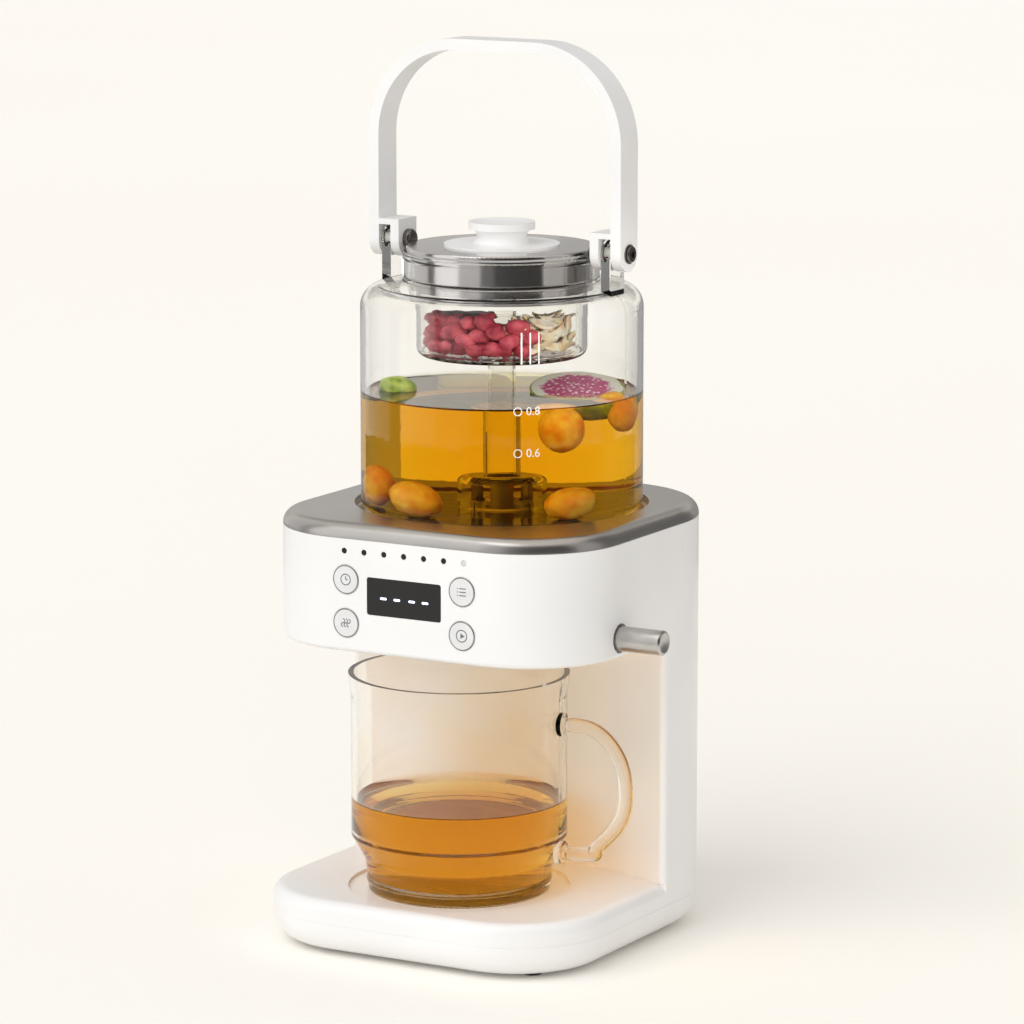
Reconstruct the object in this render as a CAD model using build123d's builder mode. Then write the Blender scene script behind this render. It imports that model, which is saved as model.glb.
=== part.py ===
"""Automatic tea maker: a glass kettle on a C-shaped body that pours into a glass mug below.

Millimetres. X runs across, -Y is the front, Z is up from the floor under the rubber feet.
The pieces are drawn about the kettle's axis, X = 0, Y = 0, and write() then moves each one so
that the origin lies under the middle of the whole outline.  Sizes that can be set by themselves
are the named values at the top of each section, and every neighbour takes its place from them.
"""
from build123d import *
from math import cos, radians, sin, sqrt
import os

os.makedirs("parts", exist_ok=True)

# ---------------------------------------------------------------- body, driving sizes
body_half_w = 85.0            # half width of head, column and base
body_back_y = 78.0
head_front_y = -90.0
base_front_y = -101.0
front_corner_r = 46.0         # plan corners
rear_corner_r = 55.0
wall = 2.6                    # moulded wall

foot_h = 2.0                  # rubber foot below the pan
parting_z = 16.7              # joint line of base pan and housing
base_top_z = 27.2
head_bottom_z = 143.4
seam_z = 196.2                # housing top edge, where the steel deck starts
deck_top_z = 203.0

niche_edge_y = 3.0            # front of the column at its side edges
niche_depth = 20.0            # how far the column's face is hollowed behind the mug
niche_r = (body_half_w ** 2 + niche_depth ** 2) / (2 * niche_depth)
niche_center_y = niche_edge_y + niche_depth - niche_r

base_edge_r = 5.5
pan_edge_r = 12.0
column_edge_r = 2.5
join_y = niche_edge_y + column_edge_r    # where the column's rounded edge runs out
head_edge_r = 2.5
joint_gap = 0.25              # around covers that lie flush
rod_out = 22.7                # pour rod sticks out of the right side at rest
inlet_flange_t = 2.0          # mains inlet stands out of the back

# ---------------------------------------------------------------- mug and its place
mug_y = -40.2
mug_r = 50.4
mug_rim_r = 51.5
mug_foot_r = 42.3
mug_wall = 2.4
mug_floor = 4.0
recess_gap = 9.7              # around the mug's foot
recess_depth = 1.4
recess_r = mug_foot_r + recess_gap
mug_z = base_top_z - recess_depth
mug_rim_z = 128.6
mug_turn = 8.0                # degrees, handle from +X towards the back

# ---------------------------------------------------------------- kettle, driving sizes
kettle_r = 66.0
kettle_wall = 2.4
kettle_floor = 3.2
well_depth = 4.0              # kettle bottom below the deck's top
kettle_z = deck_top_z - well_depth
kettle_edge_r = 6.0
shoulder_z = 295.0            # where the wall starts to curve in
shoulder_r = 10.5
neck_root_z = 307.8
rim_z = 319.9
hole_gap = 2.7                # between kettle and deck hole
inner_floor_z = kettle_z + kettle_floor

# Across the top, outside to inside: bail, the glass ear that it turns on, its cheek, the nut, the neck.
bail_half_w = 67.0            # outside of the bail
bail_t = 5.3
bail_gap = 0.7                # beside the ear
lug_t = 5.0
cheek_gap = 0.6
cheek_t = 4.5
nut_t = 3.4
nut_gap = 1.3                 # from the nut to the neck's bead
rim_bead_w = 0.7
lug_x1 = bail_half_w - bail_t - bail_gap
lug_x0 = lug_x1 - lug_t
cheek_x1 = lug_x0 - cheek_gap
cheek_x0 = cheek_x1 - cheek_t
rim_bead_r = cheek_x0 - nut_t - nut_gap
neck_r = rim_bead_r - rim_bead_w
neck_in_r = neck_r - kettle_wall

deck_sheet = 1.0
deck_edge_r = 6.4
deck_hole_r = kettle_r + hole_gap

run_gap = 0.05                # radial clearance of running fits
slip_gap = 0.1                # beside parts that slide or drop in


def body_outline(sketch, inset, front_y):
    """Draws the body's plan, drawn in by inset, in the sketch that is open."""
    half = body_half_w - inset
    low, high = front_y + inset, body_back_y - inset
    with Locations((0, (low + high) / 2)):
        Rectangle(2 * half, high - low)
    fillet(sketch.vertices().group_by(Axis.Y)[0], front_corner_r - inset)
    fillet(sketch.vertices().group_by(Axis.Y)[-1], rear_corner_r - inset)


def screw(x, y, z, head_r, head_h, shank_r, length, plane_z=(0, 0, 1)):
    """One pan-head screw: head from its seat at (x, y, z) along plane_z, shank the other way."""
    seat = Plane(origin=(x, y, z), z_dir=plane_z)
    with BuildPart(seat) as one:
        Cylinder(head_r, head_h, align=(Align.CENTER, Align.CENTER, Align.MIN))
        fillet(one.faces().sort_by(Axis(seat.origin, seat.z_dir))[-1].edges(), head_h * 0.45)
        Cylinder(shank_r, length, align=(Align.CENTER, Align.CENTER, Align.MAX))
        with Locations((0, 0, head_h)):
            Box(head_r, head_r * 0.22, head_h * 0.8, mode=Mode.SUBTRACT)
            Box(head_r * 0.22, head_r, head_h * 0.8, mode=Mode.SUBTRACT)
    return one.part


def coil(start, direction, length, coil_r, wire_r, turns):
    """A compression spring from start along direction, flat length measured over the wire."""
    height = length - 2 * wire_r
    base = Vector(*start) + Vector(*direction).normalized() * wire_r
    with BuildPart() as spring:
        with BuildLine() as wire:
            Helix(height / turns, height, coil_r, center=base, direction=direction)
        with BuildSketch(Plane(origin=wire.line @ 0, z_dir=wire.line % 0)):
            Circle(wire_r)
        sweep(path=wire.line)
    return spring.part


def write(part, name):
    """Moves a finished piece into the frame, labels it and writes its STEP file."""
    placed = part.moved(Location((-rod_out / 2, -(base_front_y + body_back_y + inlet_flange_t) / 2, 0)))
    placed.label = name
    export_step(placed, f"parts/{name}.step")


# ================================================================ housing shell
# White moulded C: head walls and floor, column, and the top of the base, in one piece.
screw_r = 1.5
boss_r = 4.4
foot_r = 4.5
foot_seat = 2.5               # how far a foot is let into the pan
base_screw_head_r = 3.0
base_screw_head_h = 2.0
front_foot = (body_half_w - 26.2, base_front_y + 26.0)
rear_foot = (body_half_w - 30.0, body_back_y - 28.0)
foot_places = [(s * x, y) for x, y in (front_foot, rear_foot) for s in (-1, 1)]
base_boss_z = parting_z + 0.2
base_pilot = 6.0              # depth of the screw holes over the feet
tongue_h = 3.0                # the pan's tongue inside the housing's wall
rib_len = 21.0                # from a rear boss into the side wall

cover_half_w = body_half_w - 27.0        # rear cover, across
cover_z0, cover_z1 = 34.0, 140.0
cover_post_x = body_half_w - 41.0
cover_post_z = (46.0, 128.0)
cover_post_end_y = body_back_y - 12.0    # where the housing's posts meet the cover's bosses
post_r = 4.0
post_pilot = 12.0             # depth of the screw holes in posts and tray bosses
cover_reach = body_back_y + 1 - cover_post_end_y

plate_t = 3.0                 # heating plate, under the kettle
plate_z = kettle_z - plate_t
plate_raise = 3.0             # of the plate over its tray
tray_t = 2.5
tray_z = plate_z - plate_raise - tray_t  # heater tray's underside, top of its bosses
tray_boss_r = 5.6
tray_boss_x = body_half_w - wall - tray_boss_r + 0.6
tray_boss_y = 30.0
tray_boss_h = 22.0

rod_r = 5.75                  # pour rod
rod_y = mug_y + 0.2
rod_z = 152.6
rod_hole_gap = 1.15
bush_wall = 1.5
bush_boss_wall = 1.6
bush_len = 12.0
bush_in_x = body_half_w - wall - bush_len

button_r = 6.8
button_gap = 0.15
button_x = 30.6
button_z = (157.1, 177.3)
led_r = 1.3
led_gap = 0.1
led_z = 190.6
led_step = 10.5
led_places = [(led_step * (i - 3), led_z) for i in range(7)]
window_w, window_h = 39.0, 17.3
window_z = 170.75
window_corner_r = 1.2
window_gap = 0.1
board_front_y = head_front_y + 10.0
board_boss_x = 12.0
board_boss_z = (153.5, 186.0)
board_boss = [(sx * board_boss_x, z) for z in board_boss_z for sx in (-1, 1)]
board_boss_r = 3.0
board_screw_r = 1.0
board_screw_len = 6.0

nozzle_y = -14.0
nozzle_r = 5.9
nozzle_gap = 0.1
floor_z = head_bottom_z + wall            # inside face of the head's floor
front_in_y = head_front_y + wall
guide_screw_r = 1.0
guide_pilot = 1.8             # depth of its screw holes in the head's floor
guide_screw_places = [(x, rod_y + 9.5) for x in (-20.0, -3.0)]

with BuildSketch() as head_plan:
    body_outline(head_plan, 0, head_front_y)

with BuildSketch() as head_inside:
    body_outline(head_inside, wall, head_front_y)

with BuildSketch() as column_plan:
    body_outline(column_plan, 0, head_front_y)
    with Locations((0, niche_center_y)):
        Circle(niche_r, mode=Mode.SUBTRACT)
    fillet(column_plan.vertices().group_by(Axis.Y)[0], column_edge_r)

with BuildSketch() as column_inside:
    body_outline(column_inside, wall, head_front_y)
    with Locations((0, niche_center_y)):
        Circle(niche_r + wall, mode=Mode.SUBTRACT)

with BuildSketch() as rear_half:
    with Locations((0, join_y + 2 * body_half_w)):
        Rectangle(4 * body_half_w, 4 * body_half_w)

with BuildPart() as base_front:
    with BuildSketch(Plane.XY.offset(parting_z)) as outline:
        body_outline(outline, 0, base_front_y)
        add(rear_half.sketch, mode=Mode.SUBTRACT)
    extrude(amount=base_top_z - parting_z)
    fillet(base_front.faces().sort_by(Axis.Z)[-1].edges().sort_by(Axis.Y)[:-1], base_edge_r)
    with BuildSketch(Plane.XY.offset(parting_z)) as outline:
        body_outline(outline, wall, base_front_y)
        add(rear_half.sketch, mode=Mode.SUBTRACT)
    extrude(amount=base_top_z - wall - parting_z, mode=Mode.SUBTRACT)

with BuildPart() as head_front:
    with BuildSketch(Plane.XY.offset(head_bottom_z)) as outline:
        body_outline(outline, 0, head_front_y)
        add(rear_half.sketch, mode=Mode.SUBTRACT)
    extrude(amount=seam_z - head_bottom_z)
    fillet(head_front.faces().sort_by(Axis.Z)[0].edges().sort_by(Axis.Y)[:-1], head_edge_r)
    with BuildSketch(Plane.XY.offset(floor_z)) as outline:
        body_outline(outline, wall, head_front_y)
        add(rear_half.sketch, mode=Mode.SUBTRACT)
    extrude(amount=seam_z - floor_z, mode=Mode.SUBTRACT)

with BuildPart() as housing_shell:
    # rear half in layers from the joint line up
    for z0, z1, plan, inside in (
        (parting_z, base_top_z - wall, head_plan, head_inside),
        (base_top_z - wall, base_top_z, head_plan, column_inside),
        (base_top_z, head_bottom_z, column_plan, column_inside),
        (head_bottom_z, floor_z, head_plan, column_inside),
        (floor_z, seam_z, head_plan, head_inside),
    ):
        with BuildSketch(Plane.XY.offset(z0)):
            add(plan.sketch)
            add(inside.sketch, mode=Mode.SUBTRACT)
            if plan is head_plan:
                add(rear_half.sketch, mode=Mode.INTERSECT)
        extrude(amount=z1 - z0)
    add(base_front.part)
    add(head_front.part)
    # bosses over the feet, the rear pair on ribs to the side walls
    with BuildSketch(Plane.XY.offset(base_boss_z)):
        with Locations(*foot_places):
            Circle(boss_r)
    extrude(amount=base_top_z - wall - base_boss_z + 0.1)
    with BuildSketch(Plane.XY.offset(parting_z + tongue_h + 1)):
        for side in (-1, 1):
            with Locations((side * (rear_foot[0] + rib_len / 2), rear_foot[1])):
                Rectangle(rib_len, wall)
    extrude(amount=base_top_z - wall - parting_z - tongue_h - 1)
    # posts for the rear cover, from the column's face
    with BuildSketch(Plane.XZ.offset(-cover_post_end_y)):
        with Locations(*[(s * cover_post_x, z) for s in (-1, 1) for z in cover_post_z]):
            Circle(post_r)
    extrude(amount=cover_post_end_y - niche_edge_y - niche_depth * 0.8)
    # bosses for the heater tray, on the side walls
    with BuildSketch(Plane.XY.offset(tray_z - tray_boss_h)):
        with GridLocations(2 * tray_boss_x, 2 * tray_boss_y, 2, 2):
            Circle(tray_boss_r)
    extrude(amount=tray_boss_h)
    # sleeve that holds the rod's bush
    with BuildSketch(Plane.YZ.offset(bush_in_x)):
        with Locations((rod_y, rod_z)):
            Circle(rod_r + run_gap + bush_wall + bush_boss_wall)
    extrude(amount=bush_len + 0.5)
    # bosses for the control board
    with BuildSketch(Plane.XZ.offset(-front_in_y)):
        with Locations(*board_boss):
            Circle(board_boss_r)
    extrude(amount=-(board_front_y - front_in_y))
    # mug recess
    with BuildSketch(Plane.XY.offset(base_top_z)):
        with Locations((0, mug_y)):
            Circle(recess_r)
    extrude(amount=-recess_depth, mode=Mode.SUBTRACT)
    # screw pilots
    with BuildSketch(Plane.XY.offset(base_boss_z)):
        with Locations(*foot_places):
            Circle(screw_r)
    extrude(amount=base_pilot, mode=Mode.SUBTRACT)
    with BuildSketch(Plane.XZ.offset(-cover_post_end_y)):
        with Locations(*[(s * cover_post_x, z) for s in (-1, 1) for z in cover_post_z]):
            Circle(screw_r)
    extrude(amount=post_pilot, mode=Mode.SUBTRACT)
    with BuildSketch(Plane.XY.offset(tray_z)):
        with GridLocations(2 * tray_boss_x, 2 * tray_boss_y, 2, 2):
            Circle(screw_r)
    extrude(amount=-post_pilot, mode=Mode.SUBTRACT)
    with BuildSketch(Plane.XZ.offset(-board_front_y)):
        with Locations(*board_boss):
            Circle(board_screw_r)
    extrude(amount=board_screw_len - 1, mode=Mode.SUBTRACT)
    # side hole for the rod, bore for its bush
    with BuildSketch(Plane.YZ.offset(bush_in_x)):
        with Locations((rod_y, rod_z)):
            Circle(rod_r + run_gap + bush_wall)
    extrude(amount=bush_len, mode=Mode.SUBTRACT)
    with BuildSketch(Plane.YZ.offset(body_half_w + 1)):
        with Locations((rod_y, rod_z)):
            Circle(rod_r + rod_hole_gap)
    extrude(amount=-(wall + 2), mode=Mode.SUBTRACT)
    # front panel: window, buttons, lights
    with BuildSketch(Plane.XZ.offset(-head_front_y + 1)):
        with Locations((0, window_z)):
            RectangleRounded(window_w + 2 * window_gap, window_h + 2 * window_gap, window_corner_r)
        with Locations(*[(s * button_x, z) for s in (-1, 1) for z in button_z]):
            Circle(button_r + button_gap)
        with Locations(*led_places):
            Circle(led_r + led_gap)
    extrude(amount=-(wall + 1.5), mode=Mode.SUBTRACT)
    # outlet hole and guide screws in the head's floor
    with BuildSketch(Plane.XY.offset(floor_z)):
        with Locations((0, nozzle_y)):
            Circle(nozzle_r + nozzle_gap)
    extrude(amount=-wall, mode=Mode.SUBTRACT)
    with BuildSketch(Plane.XY.offset(floor_z)):
        with Locations(*guide_screw_places):
            Circle(guide_screw_r)
    extrude(amount=-guide_pilot, mode=Mode.SUBTRACT)
    # window in the column's back for the rear cover
    with Locations((0, cover_post_end_y + cover_reach / 2, (cover_z0 + cover_z1) / 2)):
        Box(2 * (cover_half_w + joint_gap), cover_reach, cover_z1 - cover_z0 + 2 * joint_gap,
            mode=Mode.SUBTRACT)
write(housing_shell.part, "housing_shell")

# ================================================================ base pan, feet, base screws
foot_gap = 0.1
base_screw_seat = foot_h + foot_seat + base_screw_head_h + 0.4
pan_boss_r = foot_r + 1.3
tongue_w = 1.6

with BuildPart() as pan_hollow:
    with BuildSketch(Plane.XY.offset(foot_h + wall)) as outline:
        body_outline(outline, wall, base_front_y)
    extrude(amount=parting_z - foot_h - wall + 1)
    fillet(pan_hollow.faces().sort_by(Axis.Z)[0].edges(), pan_edge_r - wall)

with BuildPart() as base_pan:
    with BuildSketch(Plane.XY.offset(foot_h)) as outline:
        body_outline(outline, 0, base_front_y)
    extrude(amount=parting_z - foot_h)
    fillet(base_pan.faces().sort_by(Axis.Z)[0].edges(), pan_edge_r)
    chamfer(base_pan.faces().sort_by(Axis.Z)[-1].edges(), joint_gap)
    add(pan_hollow.part, mode=Mode.SUBTRACT)
    for z0, z1, inset in ((-tongue_h, 0, wall - 0.1), (0, tongue_h, wall + slip_gap)):
        with BuildSketch(Plane.XY.offset(parting_z + z0)) as outline:
            body_outline(outline, inset, base_front_y)
        extrude(amount=z1 - z0)
    with BuildSketch(Plane.XY.offset(parting_z - tongue_h)) as outline:
        body_outline(outline, wall + slip_gap + tongue_w, base_front_y)
    extrude(amount=2 * tongue_h, mode=Mode.SUBTRACT)
    with BuildSketch(Plane.XY.offset(foot_h)):
        with Locations(*foot_places):
            Circle(pan_boss_r)
    extrude(amount=parting_z - foot_h)
    with BuildSketch(Plane.XY.offset(foot_h)):
        with Locations(*foot_places):
            Circle(foot_r + foot_gap)
    extrude(amount=foot_seat, mode=Mode.SUBTRACT)
    with BuildSketch(Plane.XY.offset(foot_h + foot_seat)):
        with Locations(*foot_places):
            Circle(base_screw_head_r + 0.2)
    extrude(amount=base_screw_seat - foot_h - foot_seat, mode=Mode.SUBTRACT)
    with BuildSketch(Plane.XY.offset(base_screw_seat)):
        with Locations(*foot_places):
            Circle(screw_r + 0.2)
    extrude(amount=parting_z - base_screw_seat, mode=Mode.SUBTRACT)
write(base_pan.part, "base_pan")

with BuildPart() as rubber_feet:
    with BuildSketch():
        with Locations(*foot_places):
            Circle(foot_r)
    extrude(amount=foot_h + foot_seat - 0.1)
    chamfer(rubber_feet.faces().group_by(Axis.Z)[0].edges(), 0.5)
write(rubber_feet.part, "rubber_feet")

with BuildPart() as base_screws:
    for x, y in foot_places:
        add(screw(x, y, base_screw_seat, base_screw_head_r, base_screw_head_h, screw_r,
                  base_boss_z + 5 - base_screw_seat, (0, 0, -1)))
write(base_screws.part, "base_screws")

# ================================================================ rear cover with the power side
cover_seat_y = body_back_y - 5.5          # seat of the cover's screws
cover_boss_r = post_r + 0.5
cover_screw_len = 14.0
cover_screw_head_r = 3.0
cover_screw_head_h = 1.8
vent_w, vent_h, vent_step, vents = 36.0, 2.2, 5.0, 6
vent_z = 118.0
inlet_w, inlet_h, inlet_z = 27.0, 19.6, 52.0
inlet_gap = 0.2
inlet_depth = 20.0
inlet_flange = 2.0
inlet_corner_r = 2.0
inlet_back_t = 4.0
pin_w, pin_len, pin_h = 2.0, 14.0, 4.0
pin_places = ((-7.0, -2.0), (0.0, 2.0), (7.0, -2.0))
socket_w, socket_h = 24.0, 16.4
power_board_y = body_back_y - 16.0         # back face of the power board
power_board_t = 1.6
power_board_w, power_board_z0, power_board_z1 = 64.0, 72.0, 98.0
power_boss = [(s * 28.0, z) for z in (76.0, 94.0) for s in (-1, 1)]
power_boss_r = 3.0
power_screw_r = 1.2
power_pilot = 8.0
transformer_w, transformer_deep, transformer_h = 24.0, 18.0, 20.0
transformer_x, transformer_z = -10.0, 85.0
relay_w, relay_deep, relay_h = 14.0, 12.0, 16.0
relay_x, relay_z = 12.0, 88.0
power_part_edge_r = 1.0
power_screw_head_r, power_screw_head_h = 2.2, 1.6

with BuildPart() as rear_cover:
    with BuildSketch(Plane.XY.offset(cover_z0)) as outline:
        body_outline(outline, 0, head_front_y)
    extrude(amount=cover_z1 - cover_z0)
    with BuildSketch(Plane.XY.offset(cover_z0)) as outline:
        body_outline(outline, wall, head_front_y)
    extrude(amount=cover_z1 - cover_z0, mode=Mode.SUBTRACT)
    with Locations((0, cover_post_end_y + 0.3 + cover_reach / 2, (cover_z0 + cover_z1) / 2)):
        Box(2 * cover_half_w, cover_reach, cover_z1 - cover_z0, mode=Mode.INTERSECT)
    with BuildSketch(Plane.XZ.offset(-cover_post_end_y - 0.1)):
        with Locations(*[(s * cover_post_x, z) for s in (-1, 1) for z in cover_post_z]):
            Circle(cover_boss_r)
    extrude(amount=-(cover_seat_y + 2.0 - cover_post_end_y))
    with BuildSketch(Plane.XZ.offset(-power_board_y)):
        with Locations(*power_boss):
            Circle(power_boss_r)
    extrude(amount=-(body_back_y - wall + 0.5 - power_board_y))
    with BuildSketch(Plane.XZ.offset(-power_board_y)):
        with Locations(*power_boss):
            Circle(power_screw_r)
    extrude(amount=-power_pilot, mode=Mode.SUBTRACT)
    with BuildSketch(Plane.XZ.offset(-cover_seat_y)):
        with Locations(*[(s * cover_post_x, z) for s in (-1, 1) for z in cover_post_z]):
            Circle(cover_screw_head_r + 0.3)
    extrude(amount=-8, mode=Mode.SUBTRACT)
    with BuildSketch(Plane.XZ.offset(-cover_seat_y)):
        with Locations(*[(s * cover_post_x, z) for s in (-1, 1) for z in cover_post_z]):
            Circle(screw_r + 0.2)
    extrude(amount=8, mode=Mode.SUBTRACT)
    with BuildSketch(Plane.XZ.offset(-body_back_y - 1)):
        with Locations((0, inlet_z)):
            Rectangle(inlet_w + 2 * inlet_gap, inlet_h + 2 * inlet_gap)
        with Locations((0, vent_z)):
            with GridLocations(0, vent_step, 1, vents):
                SlotOverall(vent_w, vent_h)
    extrude(amount=wall + 2, mode=Mode.SUBTRACT)
write(rear_cover.part, "rear_cover")

with BuildPart() as rear_screws:
    for x in (-cover_post_x, cover_post_x):
        for z in cover_post_z:
            add(screw(x, cover_seat_y, z, cover_screw_head_r, cover_screw_head_h, screw_r,
                      cover_screw_len, (0, 1, 0)))
write(rear_screws.part, "rear_screws")

with BuildPart() as power_inlet:
    with BuildSketch(Plane.XZ.offset(-body_back_y)):
        with Locations((0, inlet_z)):
            RectangleRounded(inlet_w, inlet_h, inlet_corner_r)
    extrude(amount=inlet_depth)
    with BuildSketch(Plane.XZ.offset(-body_back_y)):
        with Locations((0, inlet_z)):
            RectangleRounded(inlet_w + 2 * inlet_flange, inlet_h + 2 * inlet_flange, inlet_corner_r + 1)
    extrude(amount=-inlet_flange_t)
    fillet(power_inlet.faces().sort_by(Axis.Y)[-1].outer_wire().edges(), 0.6)
    with BuildSketch(Plane.XZ.offset(-body_back_y - inlet_flange_t)):
        with Locations((0, inlet_z)):
            RectangleRounded(socket_w, socket_h, inlet_corner_r + 1)
    extrude(amount=inlet_depth + inlet_flange_t - inlet_back_t, mode=Mode.SUBTRACT)
write(power_inlet.part, "power_inlet")

with BuildPart() as inlet_pins:
    for x, z in pin_places:
        with Locations((x, body_back_y - inlet_depth + inlet_back_t + pin_len / 2, inlet_z + z)):
            Box(pin_w, pin_len, pin_h)
    chamfer(inlet_pins.faces().group_by(Axis.Y)[-1].edges(), 0.4)
write(inlet_pins.part, "inlet_pins")

with BuildPart() as power_board:
    with BuildSketch(Plane.XZ.offset(-power_board_y)):
        with Locations((0, (power_board_z0 + power_board_z1) / 2)):
            RectangleRounded(power_board_w, power_board_z1 - power_board_z0, 1.5)
        with Locations(*power_boss):
            Circle(power_screw_r + 0.1, mode=Mode.SUBTRACT)
    extrude(amount=power_board_t)
write(power_board.part, "power_board")

power_front_y = power_board_y - power_board_t
with BuildPart() as power_parts:
    with Locations((transformer_x, power_front_y - transformer_deep / 2, transformer_z)):
        Box(transformer_w, transformer_deep, transformer_h)
    with Locations((relay_x, power_front_y - relay_deep / 2, relay_z)):
        Box(relay_w, relay_deep, relay_h)
    fillet(power_parts.edges().filter_by(Axis.Y), power_part_edge_r)
write(power_parts.part, "power_parts")

with BuildPart() as power_screws:
    for x, z in power_boss:
        add(screw(x, power_front_y, z, power_screw_head_r, power_screw_head_h, power_screw_r,
                  power_board_t + 5.4, (0, -1, 0)))
write(power_screws.part, "power_screws")

# ================================================================ steel deck and heater
lip_depth = 3.6
deck_hole_edge_r = 0.7
collar_gap = 0.3
collar_wall = 1.8
tray_side_gap = 0.3
tray_front_y = -76.0
tray_hole_r = 50.0
plate_r = 60.0
plate_hole_r = 13.0
plate_screw_ring_r = 54.5
plate_screw_places = [
    (plate_screw_ring_r * cos(radians(a)), plate_screw_ring_r * sin(radians(a))) for a in (90, 210, 330)
]
plate_screw_head_r, plate_screw_head_h = 2.8, 1.8
tray_screw_head_r, tray_screw_head_h = 3.0, 1.8
seal_in_r = 57.5
seal_lip_in_r = 66.9
element_ring_r = 36.0
element_r = 3.2
element_start = 100.0         # degrees; the ring is open at the back
element_arc = 340.0
element_end_r, element_end_len = 1.8, 11.0
sensor_x = 24.0
sensor_r = 5.4
sensor_depth = 9.0            # below the plate
sensor_flange, sensor_flange_t = 1.0, 2.0

with BuildPart() as deck_hollow:
    with BuildSketch(Plane.XY.offset(seam_z)) as outline:
        body_outline(outline, deck_sheet, head_front_y)
    extrude(amount=deck_top_z - deck_sheet - seam_z)
    fillet(deck_hollow.faces().sort_by(Axis.Z)[-1].edges(), deck_edge_r - deck_sheet)

with BuildPart() as steel_deck:
    with BuildSketch(Plane.XY.offset(seam_z)) as outline:
        body_outline(outline, 0, head_front_y)
    extrude(amount=deck_top_z - seam_z)
    fillet(steel_deck.faces().sort_by(Axis.Z)[-1].edges(), deck_edge_r)
    add(deck_hollow.part, mode=Mode.SUBTRACT)
    with BuildSketch(Plane.XY.offset(deck_top_z)):
        Circle(deck_hole_r + deck_sheet)
    extrude(amount=-lip_depth)
    with BuildSketch(Plane.XY.offset(deck_top_z)):
        Circle(deck_hole_r)
    extrude(amount=-lip_depth, mode=Mode.SUBTRACT)
    fillet(steel_deck.faces().sort_by(Axis.Z)[-1].inner_wires()[0].edges(), deck_hole_edge_r)
write(steel_deck.part, "steel_deck")

with BuildPart() as heater_tray:
    with BuildSketch(Plane.XY.offset(tray_z)) as outline:
        body_outline(outline, wall + tray_side_gap, head_front_y)
        Circle(tray_hole_r, mode=Mode.SUBTRACT)
        with Locations((0, tray_front_y - body_half_w)):
            Rectangle(4 * body_half_w, 2 * body_half_w, mode=Mode.SUBTRACT)
        with GridLocations(2 * tray_boss_x, 2 * tray_boss_y, 2, 2):
            Circle(screw_r + 0.2, mode=Mode.SUBTRACT)
        with Locations(*plate_screw_places):
            Circle(screw_r + 0.2, mode=Mode.SUBTRACT)
    extrude(amount=tray_t)
    with BuildSketch(Plane.XY.offset(tray_z + tray_t)):
        Circle(deck_hole_r + deck_sheet + collar_gap + collar_wall)
        Circle(deck_hole_r + deck_sheet + collar_gap, mode=Mode.SUBTRACT)
    extrude(amount=deck_top_z - deck_sheet - collar_gap - tray_z - tray_t)
write(heater_tray.part, "heater_tray")

with BuildPart() as tray_screws:
    for x in (-tray_boss_x, tray_boss_x):
        for y in (-tray_boss_y, tray_boss_y):
            add(screw(x, y, tray_z + tray_t, tray_screw_head_r, tray_screw_head_h, screw_r, post_pilot))
write(tray_screws.part, "tray_screws")

with BuildPart() as plate_seal:
    with BuildSketch(Plane.XY.offset(tray_z + tray_t)):
        Circle(deck_hole_r + deck_sheet)
        Circle(seal_in_r, mode=Mode.SUBTRACT)
    extrude(amount=plate_z - tray_z - tray_t)
    with BuildSketch(Plane.XY.offset(plate_z)):                   # upstand under the deck's lip
        Circle(deck_hole_r + deck_sheet)
        Circle(seal_lip_in_r, mode=Mode.SUBTRACT)
    extrude(amount=deck_top_z - lip_depth - plate_z)
write(plate_seal.part, "plate_seal")

with BuildPart() as heating_plate:
    with BuildSketch(Plane.XY.offset(plate_z)):
        Circle(plate_r)
        Circle(plate_hole_r, mode=Mode.SUBTRACT)
        with Locations((sensor_x, 0)):
            Circle(sensor_r + 0.1, mode=Mode.SUBTRACT)
    extrude(amount=plate_t)
    chamfer(heating_plate.faces().sort_by(Axis.Z)[-1].outer_wire().edges(), 0.8)
    with BuildSketch(Plane.XY.offset(plate_z)):
        with Locations(*plate_screw_places):
            Circle(screw_r)
    extrude(amount=2.2, mode=Mode.SUBTRACT)
write(heating_plate.part, "heating_plate")

with BuildPart() as plate_screws:
    for x, y in plate_screw_places:
        add(screw(x, y, tray_z, plate_screw_head_r, plate_screw_head_h, screw_r,
                  plate_z + 2 - tray_z, (0, 0, -1)))
write(plate_screws.part, "plate_screws")

element_plane = Plane(
    origin=(0, 0, plate_z - element_r),
    x_dir=(cos(radians(element_start)), sin(radians(element_start)), 0),
    z_dir=(sin(radians(element_start)), -cos(radians(element_start)), 0),
)
with BuildPart() as heating_element:
    with BuildSketch(element_plane):
        with Locations((element_ring_r, 0)):
            Circle(element_r)
    revolve(axis=Axis.Z, revolution_arc=element_arc)
    for angle in (element_start + 4, element_start + element_arc - 364):
        spot = (element_ring_r * cos(radians(angle)), element_ring_r * sin(radians(angle)))
        with BuildSketch(Plane.XY.offset(plate_z - element_r)):
            with Locations(spot):
                Circle(element_end_r)
        extrude(amount=-element_end_len)
write(heating_element.part, "heating_element")

with BuildPart() as temp_sensor:
    with BuildSketch(Plane.XY.offset(plate_z - sensor_depth)):
        with Locations((sensor_x, 0)):
            Circle(sensor_r)
    extrude(amount=sensor_depth + plate_t - 0.2)
    with BuildSketch(Plane.XY.offset(plate_z)):
        with Locations((sensor_x, 0)):
            Circle(sensor_r + sensor_flange)
    extrude(amount=-sensor_flange_t)
write(temp_sensor.part, "temp_sensor")

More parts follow.
